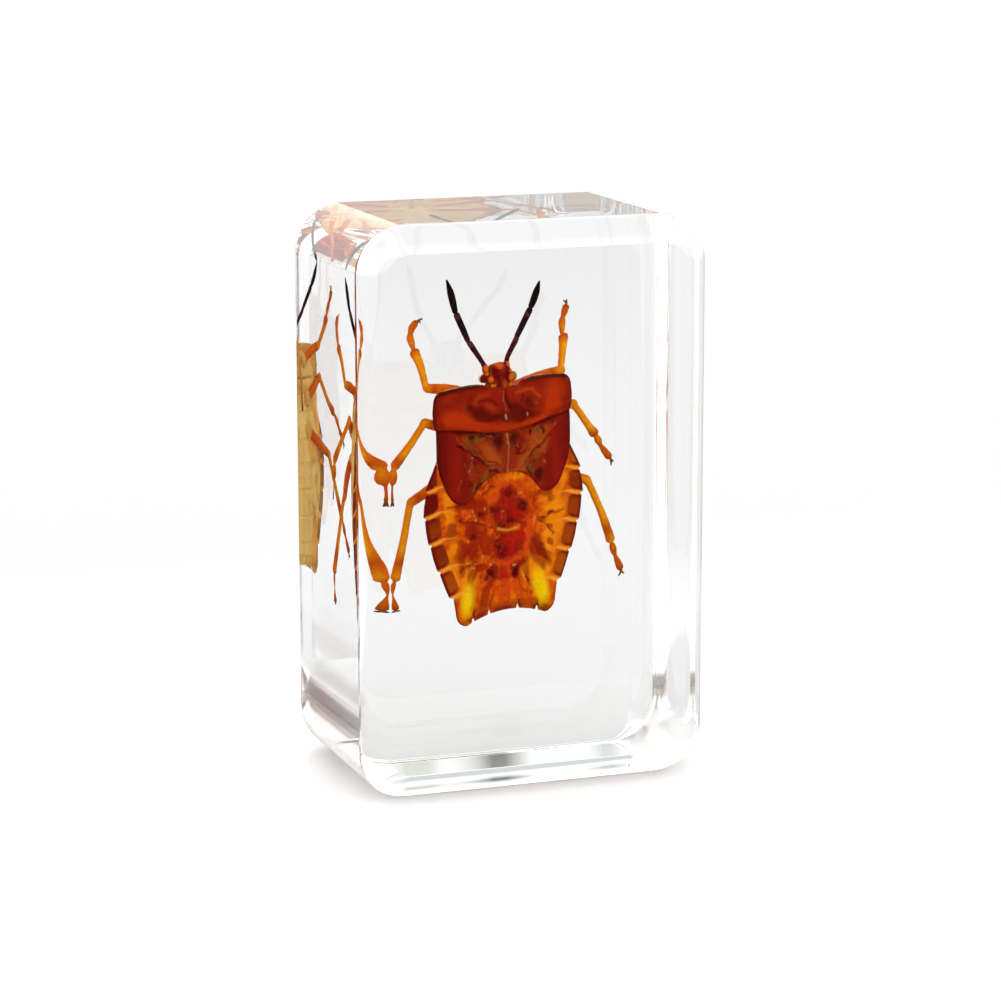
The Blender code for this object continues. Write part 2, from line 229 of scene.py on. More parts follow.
def shell(name, look):
    # dried insect shell (chitin): two cloudy tones, then the markings in order, each a mask and its
    # colour, and a pitted grain that also varies the gloss
    material, tree = newMaterial(name)
    where = add(tree, "ShaderNodeUVMap", {"uv_map": "millimetres"}).outputs[0]
    cloud = add(tree, "ShaderNodeTexNoise", {
        "Scale": 1 / look["cloudMm"], "Detail": 4.0, "Roughness": 0.6,
    }, {"Vector": where})
    cloudy = add(tree, "ShaderNodeMapRange", {
        "From Min": shellSurface["cloudFrom"], "From Max": shellSurface["cloudTo"],
    }, {"Value": cloud.outputs["Fac"]})
    colour = add(tree, "ShaderNodeMix", {
        "data_type": "RGBA", 6: linear(look["dark"]), 7: linear(look["light"]),
    }, {0: cloudy.outputs[0]}).outputs[2]
    for mask, paint in look["marks"]:
        amount = add(tree, "ShaderNodeAttribute", {"attribute_name": mask}).outputs["Fac"]
        colour = add(tree, "ShaderNodeMix", {"data_type": "RGBA", 7: linear(paint)},
                     {0: amount, 6: colour}).outputs[2]
    speck = add(tree, "ShaderNodeTexNoise", {
        "Scale": 1 / shellSurface["speckMm"], "Detail": 2.0,
    }, {"Vector": where}).outputs["Fac"]
    spread = {"From Min": shellSurface["speckFrom"], "From Max": shellSurface["speckTo"]}
    low, high = shellSurface["tone"]
    tone = add(tree, "ShaderNodeMapRange", {**spread, "To Min": low, "To Max": high}, {"Value": speck})
    colour = add(tree, "ShaderNodeMix", {"data_type": "RGBA", "blend_type": "MULTIPLY", 0: 1.0},
                 {6: colour, 7: tone.outputs[0]}).outputs[2]
    low, high = shellSurface["roughness"]
    gloss = add(tree, "ShaderNodeMapRange", {**spread, "To Min": low, "To Max": high}, {"Value": speck})
    bump = add(tree, "ShaderNodeBump", {
        "Strength": shellSurface["bump"], "Distance": shellSurface["bumpMm"] * mm,
    }, {"Height": speck})
    shader = add(tree, "ShaderNodeBsdfPrincipled", {
        "IOR": shellSurface["ior"], "Specular IOR Level": shellSurface["specular"],
    }, {"Base Color": colour, "Roughness": gloss.outputs[0], "Normal": bump.outputs[0]})
    add(tree, "ShaderNodeOutputMaterial", links={"Surface": shader.outputs[0]})
    return material


resin = {
    "ior": 1.55,
    "tint": "#fefefe",
    "absorb": "#e6e8e7", "density": 14.0,   # the faint grey of its depth, and how fast it gathers
    "haze": 0.46,                           # roughness of the foot's corners
}


def castResin():
    # cast polyester resin, cured clear, ground and buffed: glass-clear, a faint grey in its depth,
    # and hazy on the foot's corners, where the wheel doesn't reach
    material, tree = newMaterial("cast polyester resin")
    haze = add(tree, "ShaderNodeAttribute", {"attribute_name": "haze"}).outputs["Fac"]
    haze = add(tree, "ShaderNodeMapRange", {"To Max": resin["haze"]}, {"Value": haze}).outputs[0]
    shader = add(tree, "ShaderNodeBsdfPrincipled", {
        "Base Color": linear(resin["tint"]), "IOR": resin["ior"], "Transmission Weight": 1.0,
    }, {"Roughness": haze})
    depth = add(tree, "ShaderNodeVolumeAbsorption", {
        "Color": linear(resin["absorb"]), "Density": resin["density"],
    })
    add(tree, "ShaderNodeOutputMaterial", links={
        "Surface": shader.outputs[0], "Volume": depth.outputs[0],
    })
    return material


block = {
    "width": 0.028, "depth": 0.0183, "height": 0.044,
    "corner": 0.0038,      # radius of the four corners of the front outline
    "across": 0.0021,      # buffed rim, across the large face
    "down": 0.0015,        # the same rim, down the side
    "sideFullness": 1.85,  # of the rims on the sides: 2 is an ellipse, 1 a flat chamfer
    "endFullness": 1.15,   # of those at the foot and the top, which are ground flatter
    "footDown": 0.0019,    # the front rim of the foot reaches further under
    "backFoot": 0.08,      # how much of its rim the back edge of the foot has
    "footCorner": 28.0,    # degrees of the two lower corners' turn that shade as flats, on either side
    "steps": 32,           # facets of each rim
    "turnSteps": 24,       # facets of each corner
}


def rim(across, down, power):
    # quarter profile between a large face and a side: the outline moves in by
    # across * cos t ^ (2 / power), taken from the side, while y moves by down * sin t ^ (2 / power);
    # the normal leans by the powers that are left
    t = np.radians(np.linspace(0, 90, block["steps"] + 1))[:, None]
    c, s = np.clip(np.cos(t), 0, 1), np.sin(t)
    out, up = c ** (2 - 2 / power) / across, s ** (2 - 2 / power) / down
    length = np.hypot(out, up)
    return across * (c ** (2 / power) - 1), down * (s ** (2 / power) - 1), out / length, up / length


def makeBlock():
    # a rounded rectangle in x and z, swept through y, with a rim at the front and one at the back:
    # each point is its corner's centre + radius * (cos turn, sin turn), and lean is the turn that
    # its shading has
    w, d, h, r = block["width"] / 2, block["depth"] / 2, block["height"] / 2, block["corner"]
    corner = np.radians(np.linspace(0, 90, block["turnSteps"] + 1))
    centres = np.array([(w - r, h - r), (r - w, h - r), (r - w, r - h), (w - r, r - h)])
    mid = np.repeat(centres, len(corner), axis=0)
    turns = np.concatenate([corner + k * math.pi / 2 for k in range(4)])
    power = block["sideFullness"] * np.cos(turns) ** 2 + block["endFullness"] * np.sin(turns) ** 2
    flat = math.radians(block["footCorner"])
    tight = math.pi / 2 * smooth(corner, flat, math.pi / 2 - flat)
    lean = np.concatenate([(corner if k < 2 else tight) + k * math.pi / 2 for k in range(4)])
    foot = np.clip(-np.sin(turns), 0, 1) ** 4
    under = block["down"] + (block["footDown"] - block["down"]) * foot
    inFront, downFront, outFront, upFront = rim(block["across"], under, power)
    less = 1 - (1 - block["backFoot"]) * foot
    inBack, downBack, outBack, upBack = rim(block["across"] * less, block["down"] * less, power)
    y = np.concatenate((-d - downFront[::-1], d + downBack))
    radius = r + np.concatenate((inFront[::-1], inBack))
    out = np.concatenate((outFront[::-1], outBack))
    up = np.concatenate((-upFront[::-1], upBack))
    x, z = mid[:, 0] + radius * np.cos(turns), h + mid[:, 1] + radius * np.sin(turns)
    points = np.stack((x, y, z), axis=-1)
    normals = np.stack((out * np.cos(lean), up, out * np.sin(lean)), axis=-1)
    rows, cols = y.shape
    index = np.arange(rows * cols).reshape(rows, cols)
    right = np.roll(index, -1, axis=1)
    quads = np.stack((index[:-1], index[1:], right[1:], right[:-1]), axis=-1).reshape(-1, 4).tolist()
    mesh = bpy.data.meshes.new("clear_resin_block")
    mesh.from_pydata(points.reshape(-1, 3), [], quads + [index[0].tolist(), index[-1, ::-1].tolist()])
    mesh.shade_smooth()
    mesh.normals_split_custom_set_from_vertices(normals.reshape(-1, 3))
    hazy = np.concatenate([np.sin(2 * corner) * (k > 1) for k in range(4)]) * out
    layer = mesh.attributes.new("haze", "FLOAT", "POINT")
    layer.data.foreach_set("value", hazy.astype(np.float32).ravel())
    mesh.materials.append(castResin())
    piece = placed("clear_resin_block", mesh)
    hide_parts("resin_front_half", "resin_back_half")
    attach(piece, "root")
    return piece


def finishInsectPiece(piece, material):
    # every piece of the insect stands for its one solid
    piece.data.materials.append(material)
    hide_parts("shield_bug_nymph")
    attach(piece, "root")
    return piece


def plate(name, x, z, back, belly, masks):
    # x, z, back and belly are grids of rows along the body by columns across it; the belly grid
    # is laid back from right to left, so that each row goes once around the body
    def bothSides(top, under):
        top, under, _ = np.broadcast_arrays(top, under, x)
        return np.concatenate((top, under[:, ::-1]), axis=1)
    points = np.stack((bothSides(x, x), bothSides(back, belly), bothSides(z, z)), axis=-1)
    whole = {key: bothSides(*value) for key, value in masks.items()}
    return surface(name, points, whole, (points[..., 0], points[..., 2]))


def clipped(marks):
    # each pair of markings kept from 0 to 1
    return {key: [np.clip(side, 0, 1) for side in sides] for key, sides in marks.items()}


def raised(base, heights, forms, marks):
    # the base with each form added at its height; one that isn't given is the marking of its name
    for key, height in heights.items():
        base = base + height * (forms[key] if key in forms else marks[key][0])
    return base


def closedAtRim(back, underside, level, rim):
    # both faces, drawn together along the rim, where they meet at the level
    return level + (back - level) * rim, underside * rim - level * (1 - rim)


def across(count, crowd):
    # shares from -1 to 1, closer together near the ends
    t = np.linspace(-1, 1, count)
    return (1 - crowd) * t + crowd * np.sin(t * math.pi / 2)


resinBlock = makeBlock()
print("resin block made:", len(resinBlock.data.polygons), "faces")

abdomen = {
    # half width of the outline at heights along the side; each pair of rows close together is the
    # tooth at the hind corner of a segment and the notch behind it
    "outline": (
        (5.2, 5.3), (3.9, 5.85), (3.4, 6.1), (2.2, 6.72), (1.42, 7.08), (1.27, 6.84), (1.1, 7.0),
        (0.2, 7.2), (-0.6, 7.27), (-0.74, 6.98), (-0.92, 7.14), (-1.8, 7.05), (-2.78, 6.88),
        (-2.92, 6.56), (-3.1, 6.68), (-4.0, 6.48), (-5.0, 6.14), (-5.14, 5.82), (-5.34, 5.9),
        (-6.3, 5.55), (-7.28, 5.14), (-7.44, 4.7), (-7.62, 4.72), (-8.4, 4.6), (-9.0, 4.52),
        (-9.35, 4.38), (-9.6, 4.16), (-9.78, 3.86), (-9.82, 3.55),
    ),
    "columns": 231, "rowGap": 0.07,
    "joints": (3.55, 1.34, -0.67, -2.85, -5.07, -7.36),   # heights of the seams at the side
    # half width of the orange middle, inside the side pieces, at heights along the side
    "innerEdge": (
        (5.2, 5.4), (3.0, 6.0), (1.4, 5.98), (-0.6, 5.9), (-2.8, 5.62), (-5.0, 4.95), (-7.3, 4.12),
    ),
    "jointRise": 0.32,       # the side pieces slant: their seams rise towards the middle
    "tailHollow": 0.76,      # how far the middle of the tail edge lies before its corners
    "slits": ((-3.02, 0.95), (-1.55, 0.8), (1.06, 0.85), (2.82, 0.95)),    # place and length
    "slitWidth": 0.07,
    "margin": 0.24,
    "backRise": 0.4,
    "bellyDepth": 2.45,
    "bellySeam": 0.08,
    # share of the belly's depth at heights along the side
    "bellyAlong": (
        (5.2, 0.95), (1.4, 1.0), (-1.0, 0.96), (-3.0, 0.85), (-5.1, 0.7), (-7.4, 0.5), (-8.6, 0.35),
        (-9.3, 0.2), (-9.82, 0.1),
    ),
    "seamRelief": 0.1,
    "relief": {"groove": 0.1, "wrinkle": 0.22, "shade": 0.1, "deep": 0.08, "arc": -0.07},
    # how light the middles of the dark side pieces are, at heights along each side
    "blockGlowLeft": ((3.6, 0.4), (1.0, 0.0), (-0.6, 0.05), (-1.8, 0.5), (-4.0, 0.25), (-6.2, 0.85)),
    "blockGlowRight": ((3.6, 0.3), (2.0, 1.0), (0.4, 0.3), (-1.8, 0.6), (-4.0, 0.7), (-6.2, 1.0)),
    # patches on the back: x, z, half width, half height, lean in degrees, softness
    "patches": {
        "amber": (
            (4.6, -1.4, 1.0, 1.6, 0, 0.8), (4.3, -3.4, 0.9, 1.2, 20, 0.8), (3.2, -5.8, 1.2, 1.0, 30, 0.9),
            (2.6, -6.1, 1.2, 1.0, 22, 0.9), (-4.0, -5.6, 0.9, 0.9, -12, 0.9),
            (-5.1, -0.9, 0.35, 1.0, 0, 0.8), (-4.7, -3.6, 0.4, 1.0, -10, 0.8),
            (-4.0, -5.4, 0.8, 0.8, -25, 0.9), (-3.6, -6.6, 0.6, 0.7, -15, 0.9),
            (0.9, 1.75, 0.9, 0.25, 8, 0.8), (-4.9, 1.4, 0.5, 1.3, -14, 0.7),
            (5.1, 1.6, 0.45, 1.4, 12, 0.7),
        ),
        "shade": (
            (2.5, -3.9, 0.55, 0.75, 10, 0.6), (-2.9, -2.3, 0.6, 0.65, 0, 0.6),
            (-3.0, -4.0, 0.9, 0.4, 25, 0.8), (-3.4, 0.0, 1.3, 0.35, 8, 0.7),
            (3.3, -4.9, 0.8, 0.25, -30, 0.7),
        ),
        "mottle": (
            (-0.5, -1.2, 2.7, 1.9, 0, 0.5), (-0.5, -3.9, 2.7, 2.0, 0, 0.5),
            (-0.6, -5.7, 2.2, 1.0, 0, 0.5), (0.2, 0.5, 1.3, 0.7, 0, 0.5), (-3.0, -0.8, 1.5, 0.8, 0, 0.7),
            (-3.2, -2.8, 1.3, 1.3, 0, 0.7), (-2.9, -4.7, 1.2, 0.7, 0, 0.7),
        ),
        "core": (
            (0.0, -0.95, 1.75, 1.15, 0, 0.3), (0.1, -3.75, 1.45, 1.2, 0, 0.3),
            (0.2, 0.45, 0.8, 0.5, 0, 0.4), (1.15, -5.3, 0.8, 0.45, 25, 0.5),
            (0.55, -5.8, 0.6, 0.5, 0, 0.5), (-1.4, -5.7, 0.75, 0.55, 0, 0.5),
        ),
        "deep": (
            (-0.25, -1.9, 1.1, 0.26, 4, 0.5), (-1.15, -0.85, 0.42, 0.34, 0, 0.6),
            (1.4, -0.85, 0.36, 0.5, 0, 0.6), (0.25, 0.38, 0.42, 0.3, 0, 0.6),
            (0.1, -4.35, 0.8, 0.4, 0, 0.6), (-0.85, -3.55, 0.3, 0.55, 0, 0.6),
            (-1.65, -5.85, 0.5, 0.42, 0, 0.5), (-1.25, -5.2, 0.25, 0.2),
            (0.65, -6.05, 0.34, 0.42, 0, 0.5), (-2.95, -2.65, 0.26, 0.22, 0, 0.6),
            (-3.9, -1.25, 0.2, 0.16), (-2.4, -1.0, 0.25, 0.2, 0, 0.6),
        ),
        "arc": (
            (1.95, -2.6, 0.36, 0.85, 0, 0.5), (-1.3, 0.0, 0.5, 0.16, 30, 0.7),
            (-0.7, -7.2, 0.7, 0.5, 0, 0.9), (0.8, -7.2, 0.7, 0.5, 0, 0.9),
        ),
        "red": (
            (-0.3, -6.15, 0.34, 0.34, 0, 0.5), (0.9, -1.35, 0.45, 0.34, 0, 0.6),
            (1.2, -3.15, 0.34, 0.3, 0, 0.6), (0.0, -0.2, 0.3, 0.3, 0, 0.7),
            (0.15, -3.2, 0.5, 0.2, 0, 0.7), (0.3, -4.3, 0.4, 0.5, 0, 0.8),
        ),
        "yellow": ((-3.6, -7.75, 0.5, 1.25, -7, 0.7), (3.1, -7.7, 0.66, 1.45, 15, 0.6)),
        "specks": (
            (-3.11, -0.63, 0.1, 0.13), (-3.3, -0.99, 0.07, 0.09), (-2.77, -1.4, 0.1, 0.13),
            (-3.52, -2.95, 0.09, 0.07), (-2.28, -4.35, 0.1, 0.14), (2.5, -2.05, 0.1, 0.26),
            (0.55, -5.45, 0.22, 0.09), (-1.6, -5.1, 0.12, 0.1), (-3.0, -5.2, 0.14, 0.08),
            (-0.4, -1.0, 0.2, 0.04), (1.2, 0.2, 0.3, 0.04), (-2.0, -0.6, 0.06, 0.14),
        ),
    },
    # streaks: their width, then the lines they follow
    "streaks": {
        "shade": (
            0.09,
            ((-4.2, -1.35), (-2.8, -1.75), (-1.3, -2.2)), ((3.0, -2.3), (3.7, -2.7), (4.4, -3.6)),
            ((5.2, -1.9), (3.1, -1.95)), ((2.5, -0.4), (2.45, -1.3)), ((-5.2, -0.1), (-3.6, 0.1)),
            ((-2.9, -4.6), (-4.1, -5.3)), ((1.6, -6.6), (2.9, -8.2)), ((0.6, -6.3), (1.6, -7.9)),
            ((-2.6, 1.0), (-1.7, 1.5)), ((-2.3, 0.5), (-1.2, 1.1)), ((-1.0, -6.9), (-1.7, -8.2)),
        ),
        "arc": (
            0.2,
            ((1.55, -1.9), (1.95, -2.4), (2.0, -2.95), (1.8, -3.7), (1.45, -4.9), (0.1, -5.1), (-0.9, -4.95)),
            ((-0.02, -5.2), (0.0, -6.4), (-0.1, -7.9)),
            ((-1.2, 0.6), (-0.6, 1.1), (0.6, 1.15), (1.5, 0.6)),
        ),
        "middleSeam": (0.1, ((-0.88, -2.35), (0.02, -2.6), (0.85, -2.52))),
        "bellyMiddle": (0.25, ((0.0, 2.0), (0.0, -8.0))),
    },
    "look": {
        "dark": "#c63c04", "light": "#ee6404", "cloudMm": 0.45,
        "marks": (
            ("under", "#fcd27a"), ("amber", "#fc900a"), ("shade", "#922204"), ("mottle", "#9c1c05"),
            ("core", "#981408"), ("deep", "#5a0806"), ("arc", "#de480c"), ("red", "#c4140c"),
            ("yellow", "#ffcc06"), ("seams", "#ffac34"), ("tail", "#be480a"), ("blocks", "#6c0b07"),
            ("blockGlow", "#b85008"), ("specks", "#e09050"),
        ),
    },
}


def makeAbdomen():
    # height along the side runs down the rows; x = share * half width; the seams' slant, the
    # hollow tail edge and its slits are added to z; the back is a flat margin with a low dome
    # inside it, the belly a deeper one
    edge = finer([row[0] for row in abdomen["outline"]], abdomen["rowGap"])[:, None]
    s = across(abdomen["columns"], 0.2)[None, :]
    x = s * readOff(abdomen["outline"], edge)
    slant = abdomen["jointRise"] * smooth(1 - abs(s), 0.0, 0.22) * smooth(edge, -8.2, -7.3)
    hollow = abdomen["tailHollow"] * (1 - s ** 2) * smooth(-edge, 7.9, 9.2)
    tailward = smooth(-edge, 8.5, 9.82)
    slit = sum(length * bell(x - place, abdomen["slitWidth"]) for place, length in abdomen["slits"])
    z = edge + slant + hollow + slit * tailward ** 2
    rim = np.sqrt(np.clip(1 - abs(s) ** 24, 0, 1))
    rim = rim * np.sqrt(np.clip(1 - smooth(-edge, 9.2, 9.82) ** 2, 0, 1))
    rim = rim * np.sqrt(smooth(5.2 - edge, 0.0, 0.3))
    inner = readOff(abdomen["innerEdge"], edge)
    nearJoint = np.min([abs(edge - joint) for joint in abdomen["joints"]], axis=0)
    marks = abdomenMarks(x, z, edge, s, inner, nearJoint)
    seam = bell(nearJoint, 0.07)
    seamRelief = abdomen["seamRelief"] * seam * (1 - 0.6 * smooth(inner - abs(x), 0.5, 2.5))
    relief = raised(seamRelief, abdomen["relief"], {
        "groove": bell(abs(x) - inner + 0.12, 0.12) * smooth(edge, -8.4, -7.0),
        "wrinkle": rough(x, z, 0.5, 5) * smooth(inner - abs(x), 0.0, 1.0) * (1 - tailward),
    }, marks)
    # it is flatter and smooth where the wing pads lie on it
    covered = smooth(z - readOff(wingPads["hindEdge"], abs(x)), -0.5, 0.4)
    dome = np.clip(1 - (x / inner) ** 2, 0, None) ** 0.8 * (1 - tailward) * (1 - 0.6 * covered)
    relief = relief * (1 - covered) * smooth(1 - abs(s), 0, 0.03)
    level = abdomen["margin"] / 2
    back = rim * (-level - abdomen["backRise"] * dome + relief)
    bulge = np.clip(1 - (x / (inner * 1.06)) ** 2, 0, None) ** 0.9
    depth = abdomen["bellyDepth"] * readOff(abdomen["bellyAlong"], edge) - abdomen["bellySeam"] * seam
    return plate("abdomen", x, z, back, rim * (level + depth * bulge), marks)


def abdomenMarks(x, z, edge, s, inner, nearJoint):
    # where each marking lies, from 0 to 1, as a pair for the back and the belly
    patches, streaks = abdomen["patches"], abdomen["streaks"]
    u, v = wavering(x, z, 0.34, 0.55, 13)
    fine = noise(x, z, 0.2, 32)
    inside = inner - abs(x)
    # the dark side pieces, their glow and the dark rim outside them
    outward = smooth(abs(x) - inner, -0.04, 0.14)
    corner = smooth(nearJoint, 0.13, 0.26 + 0.34 * (1 - smooth(abs(x) - inner, 0.0, 0.55)))
    blocks = np.where(edge > 3.5, outward, outward * corner * smooth(edge, -7.5, -7.42))
    rimDark = smooth(abs(s), 0.962, 0.99) * (1 - 0.8 * bell(nearJoint, 0.12))
    glow = np.where(x < 0, readOff(abdomen["blockGlowLeft"], edge), readOff(abdomen["blockGlowRight"], edge))
    glow = glow * blocks * (1 - smooth(abs(s), 0.94, 0.985)) * smooth(nearJoint, 0.2, 0.6)
    # the tail edge between its slits, and its corners
    between = smooth(np.min([abs(x - place) for place, _ in abdomen["slits"]], axis=0), 0.05, 0.2)
    hang = 0.06 * abs(x)
    tail = smooth(-z, 8.1 + hang, 8.55 + hang) * (1 - smooth(abs(x), 2.75, 3.0)) * between
    tailRim = smooth(-edge, 9.3, 9.62) * (1 - smooth(abs(x), 4.0, 4.5) * 0.5)
    cornerBrown = smooth(-edge, 7.5, 7.9) * smooth(abs(x), 4.2, 4.5)
    # fans of dark wrinkles and of bright strands between them, from the middle to the side seams
    turned = np.arctan2(z + 1.6, abs(x) + 0.6) * 2.6 + 5 * np.sign(x)
    fan = noise(turned, abs(x) * 0.35, 0.3, 21)
    strands = noise(turned, abs(x) * 0.3, 0.24, 22)
    lateral = smooth(np.hypot(x, (z + 2.0) * 0.75), 2.1, 3.6)
    lateral = lateral * smooth(inside, 0.0, 0.6) * smooth(3.0 - z, 0, 1)
    amber = spots(u, v, patches["amber"])
    amber = amber + smooth(strands, 0.52, 0.72) * lateral * np.where(x < 0, 0.25, 0.5)
    shade = stroke(u, v, *streaks["shade"]) + spots(u, v, patches["shade"])
    shade = shade + smooth(fan, 0.54, 0.76) * lateral * 0.9
    mottled = smooth(0.8 * noise(u, v, 0.55, 31) + 0.2 * fine, 0.3, 0.62)
    mottle = spots(u, v, patches["mottle"]) * mottled
    core = spots(u, v, patches["core"])
    deep = spots(u, v, patches["deep"]) * (0.45 + 0.55 * smooth(fine, 0.25, 0.6))
    # bright threads through the dark middle, along the lines where a noise crosses its mean
    threads = bell(noise(u, v, 0.55, 71) - 0.5, 0.035) * np.clip(core + 0.6 * mottle, 0, 1)
    arc = stroke(u, v, *streaks["arc"]) + spots(u, v, patches["arc"])
    arc = arc * smooth(noise(x, z, 0.4, 41), -0.1, 0.35) + 0.35 * threads
    seams = bell(nearJoint, 0.06 + 0.05 * smooth(-inside, -0.6, 0.4)) * smooth(-inside, -1.5, -0.1)
    seams = seams * smooth(edge, -7.9, -7.6) + 0.6 * stroke(x, z, *streaks["middleSeam"])
    clouds = smooth(noise(u, v * 0.6, 1.0, 121), 0.42, 0.75)
    freckles = smooth(noise(u, v, 0.8, 131), 0.55, 0.8)
    bellyRim = smooth(abs(s), 0.955, 0.99) + 0.6 * smooth(-inside, 0.1, 0.35) * smooth(nearJoint, 0.12, 0.3)
    return clipped({
        "under": (0, 1),
        "amber": (amber * 0.85, clouds * 0.55 * smooth(abs(x), 0.6, 2.2)),
        "shade": (shade * 0.8, smooth(fan, 0.5, 0.8) * 0.16 + 0.2 * stroke(x, z, *streaks["bellyMiddle"])),
        "mottle": (mottle * 0.85, freckles * 0.4 * smooth(abs(x), 1.2, 3.2)),
        "core": (core * 0.9, 0),
        "deep": (deep, 0),
        "arc": (arc * 0.85, 0),
        "red": (spots(u, v, patches["red"]) * 0.9, 0),
        "yellow": (spots(x, z, patches["yellow"]), 0),
        "seams": (seams, bell(nearJoint, 0.1) * 0.35),
        "tail": (tail * 0.9 + cornerBrown * 0.7, 0),
        "blocks": (blocks + rimDark * 0.7 + tailRim * 0.7 * smooth(noise(x, z, 0.5, 43), 0.1, 0.6), bellyRim),
        "blockGlow": (glow, 0),
        "specks": (spots(x, z, patches["specks"]) * 0.7, 0),
    })


pronotum = {
    # half width at shares of the way from the hind to the front edge
    "widths": (
        (0.0, 5.95), (0.06, 6.12), (0.22, 6.26), (0.5, 6.3), (0.8, 6.2), (0.9, 6.08), (0.96, 5.9),
        (1.0, 5.62),
    ),
    # heights of both edges at distances from the middle
    "hindEdge": ((0.0, 5.18), (0.7, 5.2), (2.2, 5.4), (2.9, 5.58), (4.6, 5.88), (6.3, 6.02)),
    "frontEdge": (
        (0.0, 8.72), (1.35, 8.8), (1.75, 9.12), (2.5, 9.26), (3.6, 9.25), (4.7, 9.17), (5.5, 9.06),
        (6.3, 8.95),
    ),
    "columns": 241, "rows": 121,
    "top": 0.24,
    "rise": 0.56,
    "underside": 0.12,
    "rimLevel": 0.06,
    "bosses": ((-1.9, 7.45, 1.35, 0.75, 10, 0.6), (1.9, 7.75, 1.35, 0.75, -10, 0.6)),
    "relief": {
        "bosses": 0.1, "groove": -0.09, "lip": 0.05, "ridge": 0.07, "smear": -0.06, "halo": 0.06,
        "roll": 0.07, "wrinkle": 0.08,
    },
    "patches": {
        "redder": ((-1.7, 8.1, 1.0, 0.8, 0, 0.7), (0.0, 8.4, 0.9, 0.4, 0, 0.7)),
        "glow": (
            (-4.9, 6.85, 0.75, 0.6, 0, 0.7), (-4.0, 6.85, 0.8, 0.5, -30, 0.7),
            (-3.4, 6.3, 1.3, 0.35, -8, 0.7), (4.35, 7.75, 0.85, 1.0, 0, 0.7),
            (4.2, 6.7, 0.7, 0.5, 0, 0.7), (3.3, 6.1, 0.8, 0.25, 14, 0.7),
        ),
        "patches": (
            (-2.6, 7.15, 0.5, 0.38, 0, 0.5), (-2.0, 6.75, 0.75, 0.42, 8, 0.4),
            (-1.25, 6.55, 0.62, 0.3, 0, 0.5), (1.1, 6.55, 0.8, 0.45, 0, 0.6),
            (0.7, 7.15, 0.42, 0.5, 0, 0.6), (2.1, 6.3, 0.6, 0.35, 15, 0.7), (-0.3, 6.5, 0.5, 0.4, 0, 0.7),
            (-3.2, 7.6, 0.3, 0.3, 0, 0.8), (2.0, 7.4, 0.35, 0.5, 30, 0.8),
        ),
        # painted highlights: small pale glints on the shell
        "glints": ((-0.13, 6.5, 0.09, 0.24, 12), (1.84, 6.45, 0.05, 0.18), (-3.9, 7.2, 0.03, 0.03)),
    },
    "streaks": {
        "glow": (
            0.24,
            ((-4.9, 6.45), (-3.2, 6.12), (-1.6, 5.8), (-0.4, 5.6), (0.7, 5.68), (2.0, 5.74), (2.9, 5.88)),
        ),
        "patches": (
            0.11,
            ((1.58, 8.16), (1.5, 7.9), (1.32, 7.74)), ((-2.6, 7.9), (-1.5, 8.0), (-0.9, 7.6)),
        ),
        "halo": (
            0.13,
            ((0.97, 8.3), (1.6, 8.45), (2.4, 8.24), (3.05, 7.72)), ((1.9, 7.35), (2.6, 7.2)),
        ),
        "leftHalo": (
            0.16,
            ((-2.9, 7.85), (-2.4, 8.35), (-1.6, 8.5)), ((-1.9, 7.6), (-1.2, 7.3)),
        ),
        "smear": (0.13, ((-0.1, 8.5), (0.14, 7.71), (0.34, 7.25))),
        "ridge": (0.055, ((-0.34, 8.5), (-0.26, 7.76), (-0.19, 7.1))),
    },
    "look": {
        "dark": "#861804", "light": "#9c2605", "cloudMm": 0.9,
        "marks": (
            ("under", "#eab458"), ("redder", "#9c1a08"), ("glow", "#be3204"), ("halo", "#bc3c0c"),
            ("patches", "#5c0c03"), ("smear", "#4c0808"), ("rimDark", "#4c0c05"), ("ridge", "#8e5030"),
            ("glints", "#c88868"),
        ),
    },
}


def makePronotum():
    # rows from the hind to the front edge, whose heights depend on x; the back is a low vault with
    # a rolled rim, two smooth bosses behind the head and a groove before the hind edge
    s = across(pronotum["columns"], 0.3)[None, :]
    way = across(pronotum["rows"], 0.3)[:, None] / 2 + 0.5
    x = s * readOff(pronotum["widths"], way)
    hind = readOff(pronotum["hindEdge"], abs(x))
    front = readOff(pronotum["frontEdge"], abs(x))
    z = hind + (front - hind) * way
    rim = np.sqrt(1 - abs(s) ** 22) * np.sqrt(np.clip(1 - abs(2 * way - 1) ** 22, 0, 1))
    marks = pronotumMarks(x, z, s, hind, front)
    roll = bell((1 - abs(s)) * 6.3, 0.3) + bell(front - z, 0.26) * smooth(abs(x), 1.2, 2.0)
    back = raised(pronotum["top"] + pronotum["rise"] * (1 - s ** 2), pronotum["relief"], {
        "bosses": spots(x, z, pronotum["bosses"]),
        "groove": bell(z - hind - 0.42, 0.16),
        "lip": bell(z - hind - 0.75, 0.3),
        "roll": np.clip(roll, 0, 1),
        "wrinkle": rough(x, z, 1.1, 61),
    }, marks)
    back, belly = closedAtRim(back, pronotum["underside"], pronotum["rimLevel"], rim)
    return plate("pronotum", x, z, -back, belly, marks)


